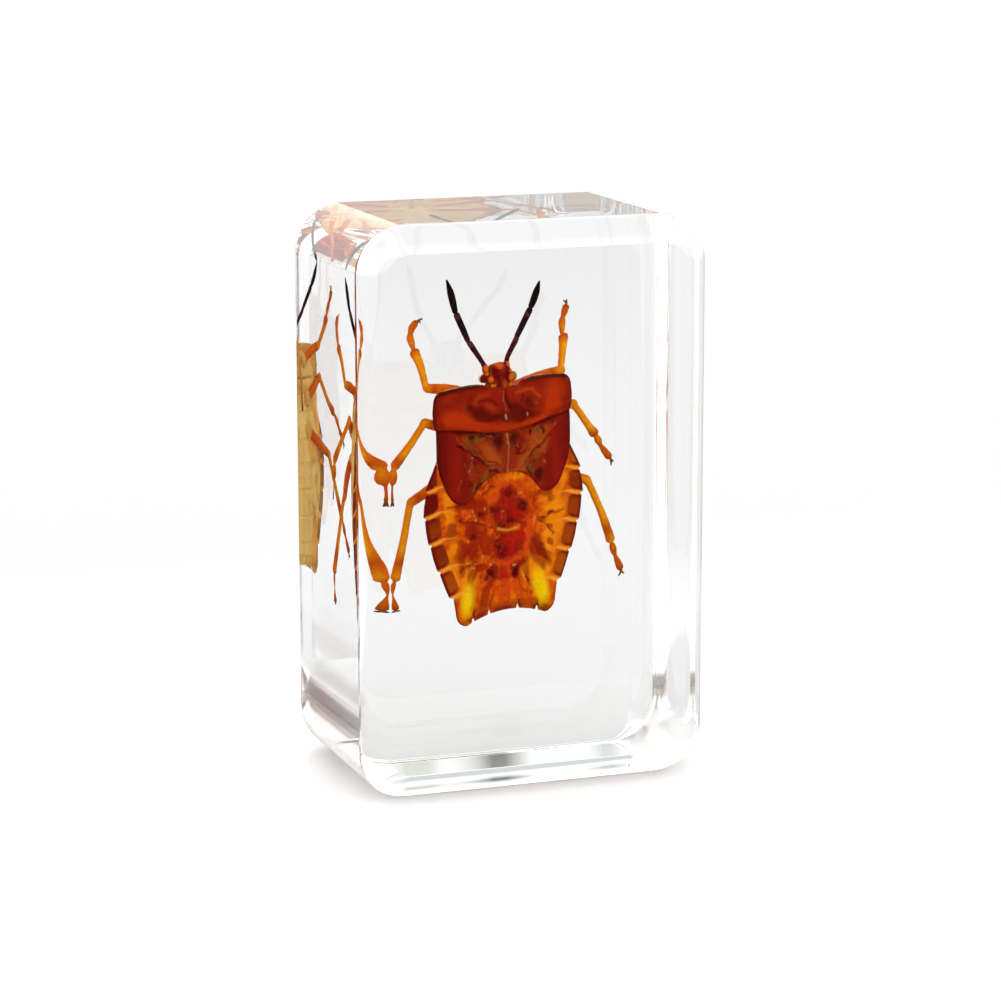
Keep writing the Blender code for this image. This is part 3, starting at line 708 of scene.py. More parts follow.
def pronotumMarks(x, z, s, hind, front):
    # where each marking lies, from 0 to 1, as a pair for the back and the belly
    patches, streaks = pronotum["patches"], pronotum["streaks"]
    u, v = wavering(x, z, 0.3, 0.9, 63)
    side = 0.25 * smooth(abs(s), 0.84, 0.93) + 0.65 * smooth(abs(s), 0.945, 0.995)
    frontDark = (1 - smooth(front - z, 0.06, 0.42)) * smooth(abs(x), 1.3, 2.2)
    hindLine = 1 - smooth(z - hind, 0.02, 0.16)
    glow = spots(u, v, patches["glow"]) + stroke(u, v, *streaks["glow"])
    halo = stroke(u, v, *streaks["halo"]) + 0.5 * stroke(u, v, *streaks["leftHalo"])
    dark = spots(u, v, patches["patches"]) + 0.9 * stroke(u, v, *streaks["patches"])
    return clipped({
        "under": (0, 1),
        "redder": (spots(u, v, patches["redder"]) * 0.8, 0),
        "glow": (glow * 0.9, 0),
        "halo": (halo * 0.85, 0),
        "patches": (dark * 0.9, 0),
        "smear": (stroke(u, v, *streaks["smear"]), 0),
        "rimDark": (side + frontDark + hindLine * 0.8, smooth(abs(s), 0.93, 0.99)),
        "ridge": (stroke(u, v, *streaks["ridge"]), 0),
        # painted highlights
        "glints": (spots(x, z, patches["glints"]) * 0.8, 0),
    })


wingPads = {
    # heights of the hind edge at distances from the middle
    "hindEdge": (
        (0.0, 1.95), (0.5, 1.98), (0.95, 1.93), (1.55, 1.71), (2.0, 1.46), (2.27, 1.22), (2.55, 0.92),
        (2.78, 0.62), (3.05, 0.3), (3.35, 0.07), (3.65, -0.04), (3.95, -0.06), (4.25, 0.0), (4.55, 0.16),
        (4.87, 0.45), (5.08, 0.8), (5.24, 1.14), (5.46, 1.6), (5.66, 2.08), (5.8, 2.55), (5.9, 3.05),
        (5.99, 3.45), (6.05, 3.85),
    ),
    "columnGap": 0.05, "rows": 150,
    "front": 6.4,             # how far forward they run under the pronotum
    "top": 0.3,
    "rise": 0.34,
    "underside": 0.02,
    "rimLevel": 0.1,
    "relief": {
        "keel": 0.1, "veins": 0.12, "deep": -0.1, "fan": 0.06, "roll": 0.08, "pad": 0.05, "wrinkle": 0.14,
    },
    "tuckSides": 0.28, "tuckMiddle": 0.06,   # how far they sink to pass under the pronotum
    "patches": {
        "fan": (
            (2.85, 4.0, 0.95, 0.75, -20, 0.7), (1.5, 3.0, 0.8, 0.35, 40, 0.7),
            (3.75, 5.1, 0.6, 0.3, 40, 0.7), (-1.65, 3.95, 1.0, 0.42, -32, 0.7),
            (-3.9, 5.35, 0.6, 0.3, -20, 0.8), (1.3, 2.2, 0.7, 0.3, 10, 0.7),
            (-1.2, 3.3, 0.8, 0.25, -30, 0.8),
        ),
        "olive": (
            (-2.75, 5.1, 0.85, 0.22, 0, 0.7), (2.2, 2.15, 0.24, 0.5, 10, 0.5),
            (-2.05, 2.05, 0.2, 0.62, -35, 0.6), (2.8, 5.1, 0.5, 0.24, 25, 0.5),
            (-2.95, 1.3, 0.1, 0.6, -8, 0.6), (2.6, 3.2, 0.16, 0.4, 20, 0.7),
            (-3.3, 4.6, 0.5, 0.15, -35, 0.7),
        ),
        "deep": (
            (-0.75, 4.6, 0.42, 0.75, 0, 0.6), (2.09, 5.0, 0.16, 0.2), (3.4, 4.96, 0.16, 0.28, 20),
            (-4.1, 4.55, 0.28, 0.16, -30), (2.95, 1.5, 0.3, 0.5, -10, 0.6),
            (-2.45, 1.25, 0.22, 0.45, -30, 0.5), (0.7, 4.7, 0.35, 0.5, 0, 0.7),
            (-3.0, 5.15, 0.3, 0.2, 0, 0.6), (-1.6, 5.3, 0.8, 0.14, 0, 0.6),
        ),
        # painted highlights: small pale glints on the pads
        "glints": (
            (0.08, 4.45, 0.09, 0.16), (0.09, 2.12, 0.13, 0.18), (0.02, 5.0, 0.07, 0.16),
            (-3.35, 2.6, 0.09, 0.1), (-3.1, 3.62, 0.1, 0.07), (3.42, 2.42, 0.1, 0.07),
            (3.2, 4.9, 0.06, 0.12),
        ),
    },
    "streaks": {
        "veins": (
            0.085,
            ((-4.5, 5.5), (-4.06, 4.8), (-2.73, 3.82), (-2.03, 3.24), (-1.31, 2.88), (-0.24, 2.18)),
            ((4.57, 5.4), (3.82, 4.74), (3.08, 4.13), (2.15, 3.39), (1.32, 2.79), (0.4, 2.08)),
            ((-1.5, 2.72), (-0.87, 2.38), (-0.3, 2.02)),
        ),
        "thinVeins": (
            0.07,
            ((-3.35, 3.75), (-3.05, 3.45), (-3.2, 2.9)), ((-3.42, 2.75), (-3.2, 2.4)),
            ((-4.45, 1.31), (-4.31, 1.64), (-4.08, 1.9)), ((3.3, 2.6), (3.55, 2.35)),
            ((4.1, 4.3), (3.4, 3.7), (2.9, 3.1)), ((2.9, 4.9), (2.2, 4.2), (1.2, 3.7)),
            ((3.5, 3.9), (3.3, 3.0)), ((-3.9, 3.3), (-3.7, 3.0)), ((2.4, 4.6), (2.9, 3.9)),
        ),
        "deep": (
            0.09,
            ((1.6, 2.7), (1.85, 2.15), (2.39, 1.52)), ((-1.55, 2.42), (-0.95, 2.16), (-0.4, 1.88)),
        ),
        # painted shade: a dark line just under each main vein
        "shadowUnderVeins": (
            0.08,
            ((-3.9, 4.35), (-2.7, 3.52), (-1.9, 2.95), (-0.6, 2.25)),
            ((3.6, 4.2), (2.9, 3.6), (1.9, 2.95)),
        ),
        "keel": (0.085, ((0.0, 5.6), (0.08, 4.4), (0.1, 3.2), (0.09, 1.98))),
    },
    "look": {
        "dark": "#7a0f05", "light": "#8a1607", "cloudMm": 0.6,
        "marks": (
            ("under", "#f4cc74"), ("middle", "#9c2e08"), ("fan", "#b64c10"), ("olive", "#7c5018"),
            ("red", "#941808"), ("deep", "#460906"), ("rimDark", "#560904"), ("veins", "#a8562a"),
            ("keel", "#a45c34"), ("glints", "#bc7850"),
        ),
    },
}


def makeWingPads():
    # columns at fixed x, each straight from under the pronotum to the arched hind edge; the back
    # is a low vault with folds, a middle keel and a rolled outer edge
    right = finer([row[0] for row in wingPads["hindEdge"]], wingPads["columnGap"])
    x = np.concatenate((-right[:0:-1], right))[None, :]
    hind = readOff(wingPads["hindEdge"], abs(x))
    way = (1 - (1 - np.linspace(0, 1, wingPads["rows"])) ** 1.15)[:, None]
    z = wingPads["front"] + (hind - wingPads["front"]) * way
    x = np.broadcast_to(x, z.shape)
    s = x / right[-1]
    rim = np.sqrt(1 - abs(s) ** 26) * np.sqrt(np.clip(1 - way ** 30, 0, 1))
    marks = wingPadMarks(x, z, s, hind)
    pad = smooth(abs(x), 3.0, 3.9)
    back = raised(wingPads["top"] + wingPads["rise"] * (1 - s ** 2), wingPads["relief"], {
        "roll": bell((1 - abs(s)) * 6.0, 0.45),
        "pad": pad,
        "wrinkle": rough(x, z, 0.7, 81) * (1 - 0.8 * pad),
    }, marks)
    tucked = smooth(z - readOff(pronotum["hindEdge"], abs(x)), -0.25, 0.2)
    back = back - wingPads["tuckSides"] * tucked * smooth(abs(x), 0.0, 3.0) - wingPads["tuckMiddle"] * tucked
    back, belly = closedAtRim(back, wingPads["underside"], wingPads["rimLevel"], rim)
    return plate("wing_pads", x, z, -back, belly, marks)


def wingPadMarks(x, z, s, hind):
    # where each marking lies, from 0 to 1, as a pair for the back and the belly
    patches, streaks = wingPads["patches"], wingPads["streaks"]
    u, v = wavering(x, z, 0.26, 0.6, 83)
    middle = 1 - smooth(abs(x), 3.0, 3.8)
    hindLine = (1 - smooth(z - hind, 0.02, 0.22)) * (0.3 + 0.5 * smooth(abs(x), 2.2, 3.2))
    rimDark = 0.4 * smooth(abs(s), 0.82, 0.92) + 0.6 * smooth(abs(s), 0.93, 0.99) + hindLine
    # painted shadow of the pronotum's hind edge across the pads, added to their dark rim
    shadow = (1 - smooth(5.75 - z, 0.0, 0.6)) * (1 - smooth(abs(x), 4.2, 5.0))
    # crumpled folds of the thin middle, along the lines where a stretched noise crosses its mean,
    # with a line of painted shade beside each
    crumple = noise(u + 0.7 * abs(v), v - 0.6 * abs(u), 0.6, 91)
    folds = bell(crumple - 0.5, 0.04) * middle
    veins = stroke(u, v, *streaks["veins"]) + 0.75 * stroke(u, v, *streaks["thinVeins"])
    veins = veins * 0.7 + 0.7 * folds * smooth(noise(x, z, 0.7, 92), 0.35, 0.6)
    # dark patches, then painted shade: lines under the veins and beside each fold
    deep = spots(u, v, patches["deep"]) + stroke(u, v, *streaks["deep"])
    deep = deep + 0.8 * stroke(u, v, *streaks["shadowUnderVeins"]) + 0.6 * bell(crumple - 0.42, 0.035) * middle
    redBand = bell(abs(x) - 4.42 + 0.08 * (z - 3), 0.4) * smooth(z - hind, 0.1, 0.9)
    return clipped({
        "under": (0, 1),
        "middle": (middle * smooth(rough(x, z, 0.9, 88), -0.35, 0.15) * 0.8, 0),
        "fan": (spots(u, v, patches["fan"]) * 0.85, 0),
        "olive": (spots(u, v, patches["olive"]) * 0.75, 0),
        "deep": (deep * 0.9, 0),
        # the dark rim and hind line, with the painted shadow of the pronotum
        "rimDark": (rimDark + shadow * 0.85, 0),
        "red": (redBand * 0.9, 0),
        "veins": (veins * (0.45 + 0.45 * smooth(noise(x, z, 0.5, 97), 0.15, 0.5)), 0),
        "keel": (stroke(u, v, *streaks["keel"]) * smooth(5.5 - z, 0, 0.4), 0),
        # painted highlights
        "glints": (spots(x, z, patches["glints"]) * 0.7, 0),
    })


absent = ((-1, 0), (1, 0))   # no such marking anywhere along the piece

head = {
    # height, half width and half thickness of each section
    "sections": (
        (8.15, 1.26, 0.72), (8.8, 1.24, 0.8), (9.3, 1.14, 0.8), (9.8, 1.02, 0.72), (10.15, 0.95, 0.6),
        (10.4, 0.88, 0.46), (10.55, 0.7, 0.28), (10.6, 0.4, 0.12),
    ),
    "rows": 90, "columns": 96,
    "level": 0.5,
    "furrowDepth": 0.1,
    "wrinkle": 0.09,
    # centre and half sizes of the balls set into it
    "eyes": (((-1.52, 0.36, 9.52), (0.36, 0.42, 0.36)), ((1.06, 0.28, 9.42), (0.38, 0.44, 0.4))),
    "knobs": (
        ((-1.24, 0.46, 10.2), (0.26, 0.28, 0.44)), ((-1.08, -0.02, 9.42), (0.3, 0.3, 0.32)),
        ((-1.02, -0.22, 8.94), (0.28, 0.18, 0.2)), ((-1.26, 0.26, 9.84), (0.2, 0.22, 0.24)),
        ((0.7, 0.46, 10.22), (0.24, 0.28, 0.42)), ((0.72, -0.02, 9.4), (0.24, 0.3, 0.34)),
        ((0.6, -0.2, 8.86), (0.22, 0.18, 0.22)), ((0.82, 0.2, 9.84), (0.18, 0.22, 0.2)),
    ),
    # strength of each marking on them, from their underside, at -1, to their top, at 1
    "knobMarks": {
        # painted shade: the knobs dark on their undersides, turning amber towards their tops
        "dark": ((-1, 0.9), (0.2, 0.8), (0.75, 0.0)), "amber": ((-1, 0.4), (0.5, 0.5), (1, 1.0)),
        "pale": absent, "olive": absent, "maroon": absent,
    },
    "leftEyeMarks": {
        "dark": absent, "amber": absent, "pale": ((0.0, 0.9), (0.24, 0.8), (0.4, 0.0)),
        "olive": absent, "maroon": ((-1, 0.9), (1, 0.9)),
    },
    "rightEyeMarks": {
        "dark": absent, "amber": absent, "pale": ((0.0, 0.9), (0.24, 0.8), (0.4, 0.0)),
        "olive": ((-1, 0.8), (1, 0.8)), "maroon": absent,
    },
    "furrows": (
        0.25,
        ((-0.72, 10.35), (-0.62, 9.8), (-0.34, 9.3), (-0.22, 8.9)),
        ((0.58, 10.6), (0.48, 10.1), (0.42, 9.3)),
    ),
    "patches": {
        "amber": (
            (-0.1, 10.38, 0.3, 0.2, 0, 0.7), (0.1, 8.95, 0.22, 0.3, 15, 0.7),
            (-0.45, 10.4, 0.3, 0.2, 0, 0.6),
        ),
        "sunk": ((0.25, 9.7, 0.45, 0.4, 0, 0.7), (-0.45, 9.9, 0.25, 0.35, 0, 0.7)),
        "pale": ((-0.75, 8.92, 0.12, 0.09), (0.8, 9.05, 0.09, 0.12)),
    },
    "look": {
        "dark": "#861406", "light": "#ac2c08", "cloudMm": 0.3,
        "marks": (
            ("amber", "#e06818"), ("dark", "#64080c"), ("olive", "#a87a22"), ("maroon", "#6e0e0a"),
            ("pale", "#f8d29a"),
        ),
    },
}

balls = {"rows": 24, "columns": 48}   # of the grid of each


def ball(name, centre, size, masks):
    # ellipsoid: a half circle turned about the z axis, then stretched
    up = np.linspace(-math.pi / 2, math.pi / 2, balls["rows"])[:, None]
    turn = around(balls["columns"])
    towards = -np.cos(up) * np.sin(turn)
    x = centre[0] + size[0] * np.cos(up) * np.cos(turn)
    y = centre[1] - size[1] * towards
    z = centre[2] + size[2] * np.sin(up) + 0 * turn
    whole = {key: readOff(value, towards) for key, value in masks.items()}
    return surface(name, np.stack((x, y, z), axis=-1), whole, (x + y, z))


def makeHead():
    # rounded sections along the head, with two furrows on top: x = half width * cos turn and
    # y = half thickness * sin turn; eyes, cheeks and antenna knobs are balls set into it
    low, high = head["sections"][0][0], head["sections"][-1][0]
    way = np.linspace(0, 1, head["rows"])[:, None]
    z = low + (high - low) * way
    turn = around(head["columns"])
    closed = np.sqrt(np.clip(way * 12, 0, 1) * np.clip((1 - way) * 14, 0, 1))
    x = readOff(head["sections"], z) * closed * np.cos(turn)
    topSide = smooth(-np.sin(turn), 0.0, 0.6)
    furrow = stroke(x, z, *head["furrows"]) * topSide
    thick = readOff(head["sections"], z, 2) * closed - head["furrowDepth"] * furrow
    y = head["level"] + thick * np.sin(turn) + head["wrinkle"] * topSide * rough(x, z, 0.4, 101)
    glow, sunk, pale = [spots(x, z, head["patches"][key]) for key in ("amber", "sunk", "pale")]
    masks = {
        "dark": np.clip(furrow * 0.9 + 0.6 * sunk * topSide, 0, 1),
        "amber": np.clip(0.6 * glow + smooth(abs(x), 0.72, 1.0) * 0.7, 0, 1) * topSide,
        "pale": pale * topSide * 0.7,
        "olive": 0.0,
        "maroon": 0.0,
    }
    z = z + 0 * turn
    parts = [surface("head_core", np.stack((x, y, z), axis=-1), masks, (x, z))]
    for (centre, size), side in zip(head["eyes"], ("leftEyeMarks", "rightEyeMarks")):
        parts.append(ball("eye", centre, size, head[side]))
    parts += [ball("knob", centre, size, head["knobMarks"]) for centre, size in head["knobs"]]
    return joined("head", parts)


limbs = {
    # x, y, z and radius at points along each limb, from the body outwards
    "antenna_left": (
        (-1.18, 0.55, 10.2, 0.23), (-1.4, 0.66, 10.75, 0.19), (-2.06, 1.38, 12.15, 0.23),
        (-2.13, 1.48, 12.33, 0.15), (-2.19, 1.6, 12.5, 0.22), (-2.5, 2.65, 14.22, 0.26),
        (-2.54, 2.76, 14.4, 0.14), (-2.56, 2.86, 14.55, 0.23), (-2.6, 3.15, 15.3, 0.28),
        (-2.67, 3.4, 16.05, 0.26), (-2.82, 3.7, 16.95, 0.06),
    ),
    "antenna_right": (
        (0.7, 0.55, 10.2, 0.23), (0.88, 0.66, 10.85, 0.19), (2.06, 1.35, 12.0, 0.23),
        (2.16, 1.42, 12.15, 0.15), (2.28, 1.49, 12.3, 0.22), (3.8, 2.3, 13.88, 0.26),
        (3.95, 2.38, 14.05, 0.14), (4.06, 2.44, 14.2, 0.23), (4.42, 2.66, 14.62, 0.28),
        (4.85, 2.9, 15.28, 0.26), (5.23, 3.1, 15.99, 0.06),
    ),
    "front_leg_left": (
        (-1.6, 2.0, 8.15, 0.38), (-3.77, 2.15, 8.7, 0.42), (-5.2, 2.36, 8.95, 0.37),
        (-5.42, 2.42, 9.02, 0.34), (-5.5, 2.62, 9.35, 0.27), (-5.55, 3.2, 10.6, 0.31),
        (-5.68, 3.78, 11.5, 0.39), (-5.71, 3.9, 11.72, 0.38), (-5.76, 3.98, 11.92, 0.17),
        (-5.82, 4.06, 12.25, 0.25), (-5.88, 4.18, 12.7, 0.29), (-5.8, 4.3, 13.08, 0.22),
        (-5.6, 4.38, 13.46, 0.28), (-5.36, 4.34, 13.76, 0.27), (-5.14, 4.3, 13.93, 0.16),
    ),
    "front_leg_right": (
        (1.6, 2.0, 8.15, 0.38), (4.3, 1.45, 8.8, 0.42), (5.85, 1.2, 9.04, 0.37), (6.06, 1.24, 9.12, 0.34),
        (6.22, 1.5, 9.45, 0.27), (6.81, 2.3, 10.5, 0.31), (7.12, 2.72, 11.2, 0.38),
        (7.2, 2.84, 11.42, 0.38), (7.18, 3.0, 11.62, 0.17), (7.28, 3.2, 12.0, 0.26),
        (7.44, 3.45, 12.45, 0.28), (7.62, 3.62, 12.8, 0.19), (7.84, 3.74, 13.15, 0.27),
        (8.0, 3.8, 13.5, 0.27), (8.05, 3.8, 13.72, 0.16),
    ),
    "middle_leg_left": (
        (-1.7, 2.7, 5.0, 0.4), (-4.2, 1.95, 5.8, 0.45), (-6.1, 1.26, 6.5, 0.36),
        (-6.34, 1.22, 6.58, 0.35), (-6.5, 1.52, 6.15, 0.28), (-6.91, 2.6, 4.76, 0.3),
        (-7.6, 3.72, 3.18, 0.38), (-7.7, 3.84, 2.92, 0.36), (-7.8, 3.85, 2.7, 0.22),
        (-7.9, 3.8, 2.4, 0.34), (-7.94, 3.76, 2.05, 0.36), (-7.96, 3.78, 1.72, 0.28),
        (-7.98, 3.82, 1.46, 0.1), (-7.97, 3.92, 0.8, 0.09), (-7.93, 3.98, 0.22, 0.13),
    ),
    "middle_leg_right": (
        (1.7, 2.7, 5.0, 0.4), (4.4, 1.45, 5.8, 0.45), (6.5, 0.45, 6.42, 0.36), (6.74, 0.42, 6.3, 0.35),
        (7.05, 0.45, 5.95, 0.28), (8.36, 0.9, 4.36, 0.3), (9.0, 1.3, 3.72, 0.38), (9.14, 1.4, 3.56, 0.37),
        (9.32, 1.55, 3.36, 0.17), (9.56, 1.7, 3.12, 0.25), (9.78, 1.83, 2.82, 0.3),
        (10.02, 1.88, 2.38, 0.18), (10.4, 1.95, 1.9, 0.27), (10.75, 2.0, 1.48, 0.31),
        (10.98, 2.0, 1.18, 0.24),
    ),
    "hind_leg_left": (
        (-1.8, 2.8, 2.3, 0.42), (-4.6, 2.45, 1.3, 0.47), (-7.1, 1.84, 0.5, 0.37),
        (-7.36, 1.86, 0.36, 0.36), (-7.45, 2.12, -0.25, 0.29), (-7.61, 2.85, -2.77, 0.31),
        (-7.94, 3.55, -5.4, 0.39), (-8.02, 3.64, -5.88, 0.4), (-8.1, 3.64, -6.12, 0.16),
        (-8.24, 3.58, -6.42, 0.2), (-8.34, 3.52, -6.75, 0.16), (-8.37, 3.47, -7.12, 0.07),
        (-8.32, 3.42, -7.5, 0.14), (-8.26, 3.37, -7.95, 0.27), (-8.22, 3.35, -8.22, 0.3),
        (-8.21, 3.34, -8.36, 0.16),
    ),
    "hind_leg_right": (
        (1.8, 2.8, 2.3, 0.42), (5.0, 1.75, 1.1, 0.47), (7.8, 0.88, 0.16, 0.37), (8.06, 0.8, -0.02, 0.36),
        (8.35, 0.75, -0.5, 0.29), (9.48, 0.9, -2.85, 0.31), (10.36, 1.16, -4.95, 0.38),
        (10.48, 1.22, -5.25, 0.38), (10.62, 1.3, -5.5, 0.17), (10.74, 1.36, -5.85, 0.27),
        (10.88, 1.43, -6.25, 0.28), (11.06, 1.5, -6.7, 0.16), (11.3, 1.55, -7.2, 0.26),
        (11.54, 1.59, -7.72, 0.31), (11.66, 1.6, -8.02, 0.22),
    ),
}

claws = {
    # the two claw points of each foot
    "front_leg_left": ((-4.72, 4.2, 14.08), (-4.95, 4.25, 13.72)),
    "front_leg_right": ((7.72, 3.75, 14.05), (8.1, 3.85, 14.1)),
    "middle_leg_left": ((-8.12, 4.0, -0.18), (-7.74, 4.0, -0.18)),
    "middle_leg_right": ((11.02, 2.0, 0.55), (11.3, 2.02, 0.85)),
    "hind_leg_left": ((-8.62, 3.3, -8.42), (-7.8, 3.3, -8.42)),
    "hind_leg_right": ((11.42, 1.68, -8.52), (11.98, 1.62, -8.36)),
}

legs = {
    "steps": 260, "sides": 28,
    "clawSteps": 40, "clawSides": 12,
    "wobble": 0.1,
    # strength of each marking at shares of the leg's length, and of a claw's
    "marks": {
        "joint": (
            (0, 0.3), (0.3, 0.2), (0.36, 1.0), (0.42, 0.2), (0.66, 0.0), (0.73, 1.0), (0.8, 0.3),
            (0.87, 0.8), (1, 0.9),
        ),
        "femur": ((0, 1.0), (0.3, 0.8), (0.36, 0.4), (0.4, 0.0), (1, 0.0)),
        "claw": ((0, 0.0), (0.96, 0.0), (1, 0.6)),
    },
    "clawMarks": {"joint": absent, "femur": absent, "claw": ((0, 0.3), (0.4, 0.7), (1, 1.0))},
    "clawRadii": (0.08, 0.1, 0.075, 0.03),   # before the foot's tip, at it, at the bend and at the point
    "look": {
        "dark": "#ea8c0a", "light": "#f6a814", "cloudMm": 0.4,
        # the first marking is painted shade along the two sides of each leg
        "marks": (("shadedFlank", "#e07408"), ("femur", "#dc5c0a"), ("joint", "#c44c0c"), ("claw", "#4a2410")),
    },
}

antennae = {
    "steps": 260, "sides": 24,
    "wobble": 0.06, "wobbleSeed": 5,
    "marks": {
        "root": ((0, 1.0), (0.3, 0.8), (0.42, 0.2), (1, 0.0)),
        "joint": (
            (0, 0), (0.24, 0), (0.3, 0.8), (0.36, 0), (0.56, 0), (0.6, 0.8), (0.64, 0), (1, 0),
        ),
    },
    "look": {
        "dark": "#0d0606", "light": "#1c0e0d", "cloudMm": 0.3,
        "marks": (("root", "#45101a"), ("joint", "#5a2c24")),
    },
}


def through(points, count, slack=0.36):
    # smooth curve through points: a cardinal spline that carries the radius along as well; its
    # direction at each point is the slack * the step from the point before to the one after
    p = np.array(points)
    p = np.concatenate((2 * p[:1] - p[1:2], p, 2 * p[-1:] - p[-2:-1]))
    t = np.linspace(0, len(points) - 1 - 1e-9, count)
    k = np.floor(t).astype(int)
    f = (t - k)[:, None]
    leave, arrive = slack * (p[k + 2] - p[k]), slack * (p[k + 3] - p[k + 1])
    ease = 3 * f ** 2 - 2 * f ** 3
    straight = p[k + 1] * (1 - ease) + p[k + 2] * ease
    return straight + (f - 2 * f ** 2 + f ** 3) * leave + (f ** 3 - f ** 2) * arrive


def tube(name, points, count, sides, masks, wobble=0.0, seed=0):
    # circles of the path's own radius, square to the path and made uneven by the wobble, rounded
    # off to a point at both ends: radius * sqrt(1 - (1 - distance to the end / radius) squared)
    track = through(points, count)
    centre, radius = track[:, :3], np.abs(track[:, 3])
    along = np.gradient(centre, axis=0)
    along /= np.linalg.norm(along, axis=1)[:, None]
    out = np.cross(along, (0.0, 1.0, 0.0))
    out /= np.linalg.norm(out, axis=1)[:, None]
    up = np.cross(out, along)
    walked = np.concatenate(([0], np.cumsum(np.linalg.norm(np.diff(centre, axis=0), axis=1))))[:, None]
    toEnd = np.minimum(walked / radius[0], (walked[-1] - walked) / radius[-1]) / 0.9
    turn = around(sides)
    uneven = 1 + wobble * rough(walked, turn * 0.3, 0.35, seed)
    r = radius[:, None] * np.sqrt(1 - np.clip(1 - toEnd, 0, 1) ** 2) * uneven
    ring = np.cos(turn)[..., None] * out[:, None, :] + np.sin(turn)[..., None] * up[:, None, :]
    whole = {key: readOff(value, walked / walked[-1]) for key, value in masks.items()}
    # painted shade: each tube darker on its two sides, where cos turn is large, as a round leg lets less
    # light through at its edges; only the legs' shell paints it
    whole["shadedFlank"] = smooth(abs(np.cos(turn)), 0.45, 1.0)
    return surface(name, centre[:, None, :] + r[..., None] * ring, whole, (turn * 0.3, walked))


def makeLeg(name):
    # a tube along the leg, and one for each claw, which first bends on the way that the foot goes
    points = limbs[name]
    seed = len(name)
    parts = [tube(name + "_leg", points, legs["steps"], legs["sides"], legs["marks"], legs["wobble"], seed)]
    before, tip = np.array(points[-2][:3]), np.array(points[-1][:3])
    for end in claws[name]:
        bend = (tip + end) / 2 + 0.25 * (tip - before)
        path = [(*place, radius) for place, radius in zip((before, tip, bend, end), legs["clawRadii"])]
        parts.append(tube(name + "_claw", path, legs["clawSteps"], legs["clawSides"], legs["clawMarks"]))
    return joined(name, parts)


def makeAntenna(name):
    # one tube, whose radii narrow at the joints between its four parts
    own = antennae
    return tube(name, limbs[name], own["steps"], own["sides"], own["marks"], own["wobble"], own["wobbleSeed"])


breast = {
    # height, half width and depth of each section
    "sections": (
        (8.9, 1.6, 0.9), (8.4, 4.0, 1.3), (7.2, 4.9, 1.9), (5.2, 5.4, 2.25), (3.4, 5.2, 2.4),
        (2.0, 4.6, 2.3), (1.2, 3.6, 1.9),
    ),
    "rows": 80, "columns": 120,
    "level": 0.05,
    "flat": 0.1,              # its thickness above that level, under the back
    "seams": (6.6, 3.9), "seamDepth": 0.12,
    "wrinkle": 0.05,
    # centre and half sizes of the hips on the right; those on the left mirror them
    "hips": (
        ((1.55, 1.75, 8.0), (0.62, 0.62, 0.62)), ((1.6, 2.45, 4.95), (0.7, 0.62, 0.7)),
        ((1.65, 2.5, 2.35), (0.75, 0.62, 0.75)),
    ),
    "beakSteps": 120, "beakSides": 20,
    "beak": (
        (0.05, 1.15, 9.9, 0.24), (0.08, 2.0, 8.9, 0.26), (0.03, 2.75, 6.4, 0.22),
        (-0.04, 2.95, 4.0, 0.15),
    ),
    "hipMarks": {"seam": ((-1, 0.25), (1, 0.25)), "cloud": ((-1, 0.3), (1, 0.1)), "tip": absent},
    "beakMarks": {"seam": ((0, 0.6), (1, 0.8)), "cloud": absent, "tip": ((0, 0), (0.85, 0.1), (1, 1))},
    "look": {
        "dark": "#f0bc60", "light": "#fcd680", "cloudMm": 0.6,
        "marks": (("seam", "#b8701c"), ("cloud", "#d07c2c"), ("tip", "#2a120a")),
    },
}


def makeBreast():
    # rounded sections along the thorax, flat under the back and deep below, with two seams across:
    # x = half width * cos turn and y = level + depth * sin turn; the hips are balls set into it and
    # the beak is a tube folded back along its middle
    high, low = breast["sections"][0][0], breast["sections"][-1][0]
    way = np.linspace(0, 1, breast["rows"])[:, None]
    z = high + (low - high) * way
    turn = around(breast["columns"])
    closed = np.sqrt(np.clip(1 - abs(2 * way - 1) ** 10, 0, 1))
    x = readOff(breast["sections"], z) * closed * np.cos(turn)
    down = np.clip(np.sin(turn), 0, None)
    seams = sum(bell(z - at, 0.12) for at in breast["seams"])
    depth = readOff(breast["sections"], z, 2) - breast["seamDepth"] * seams
    depth = np.where(down > 0, depth, breast["flat"])
    y = breast["level"] + closed * np.sin(turn) * depth + breast["wrinkle"] * down * rough(x, z, 0.6, 111)
    z = z + 0 * turn
    masks = {"seam": seams * down, "cloud": 0.4 * smooth(noise(x, z, 1.0, 141), 0.42, 0.75), "tip": 0.0}
    parts = [surface("breast_core", np.stack((x, y, z), axis=-1), masks, (x, z))]
    for (px, py, pz), size in breast["hips"]:
        parts += [ball("hip", (px * side, py, pz), size, breast["hipMarks"]) for side in (-1, 1)]
    steps, sides = breast["beakSteps"], breast["beakSides"]
    parts.append(tube("beak", breast["beak"], steps, sides, breast["beakMarks"]))
    return joined("breast_and_beak", parts)


# unhardened skin of the nymph's abdomen, clear amber over dark glands, with hard maroon side plates
finishInsectPiece(makeAbdomen(), shell("nymph abdomen skin", abdomen["look"]))
# the thickest shell, mahogany red, with a horn-like glow where it is thin
finishInsectPiece(makePronotum(), shell("mahogany pronotum shell", pronotum["look"]))
# leathery maroon flaps with a thin wrinkled plate and tan folds between them
finishInsectPiece(makeWingPads(), shell("maroon wing pad shell", wingPads["look"]))
# orange-red shell with two dark furrows, clear amber cheeks and pale-ringed eyes
finishInsectPiece(makeHead(), shell("orange head shell", head["look"]))
# ochre underside, brown along its seams
finishInsectPiece(makeBreast(), shell("ochre breast shell", breast["look"]))
print("body made")

# thin amber horn, yellow where the light comes through and redder at the joints, with painted shade along the
# sides of each leg
legShell = shell("amber leg shell", legs["look"])
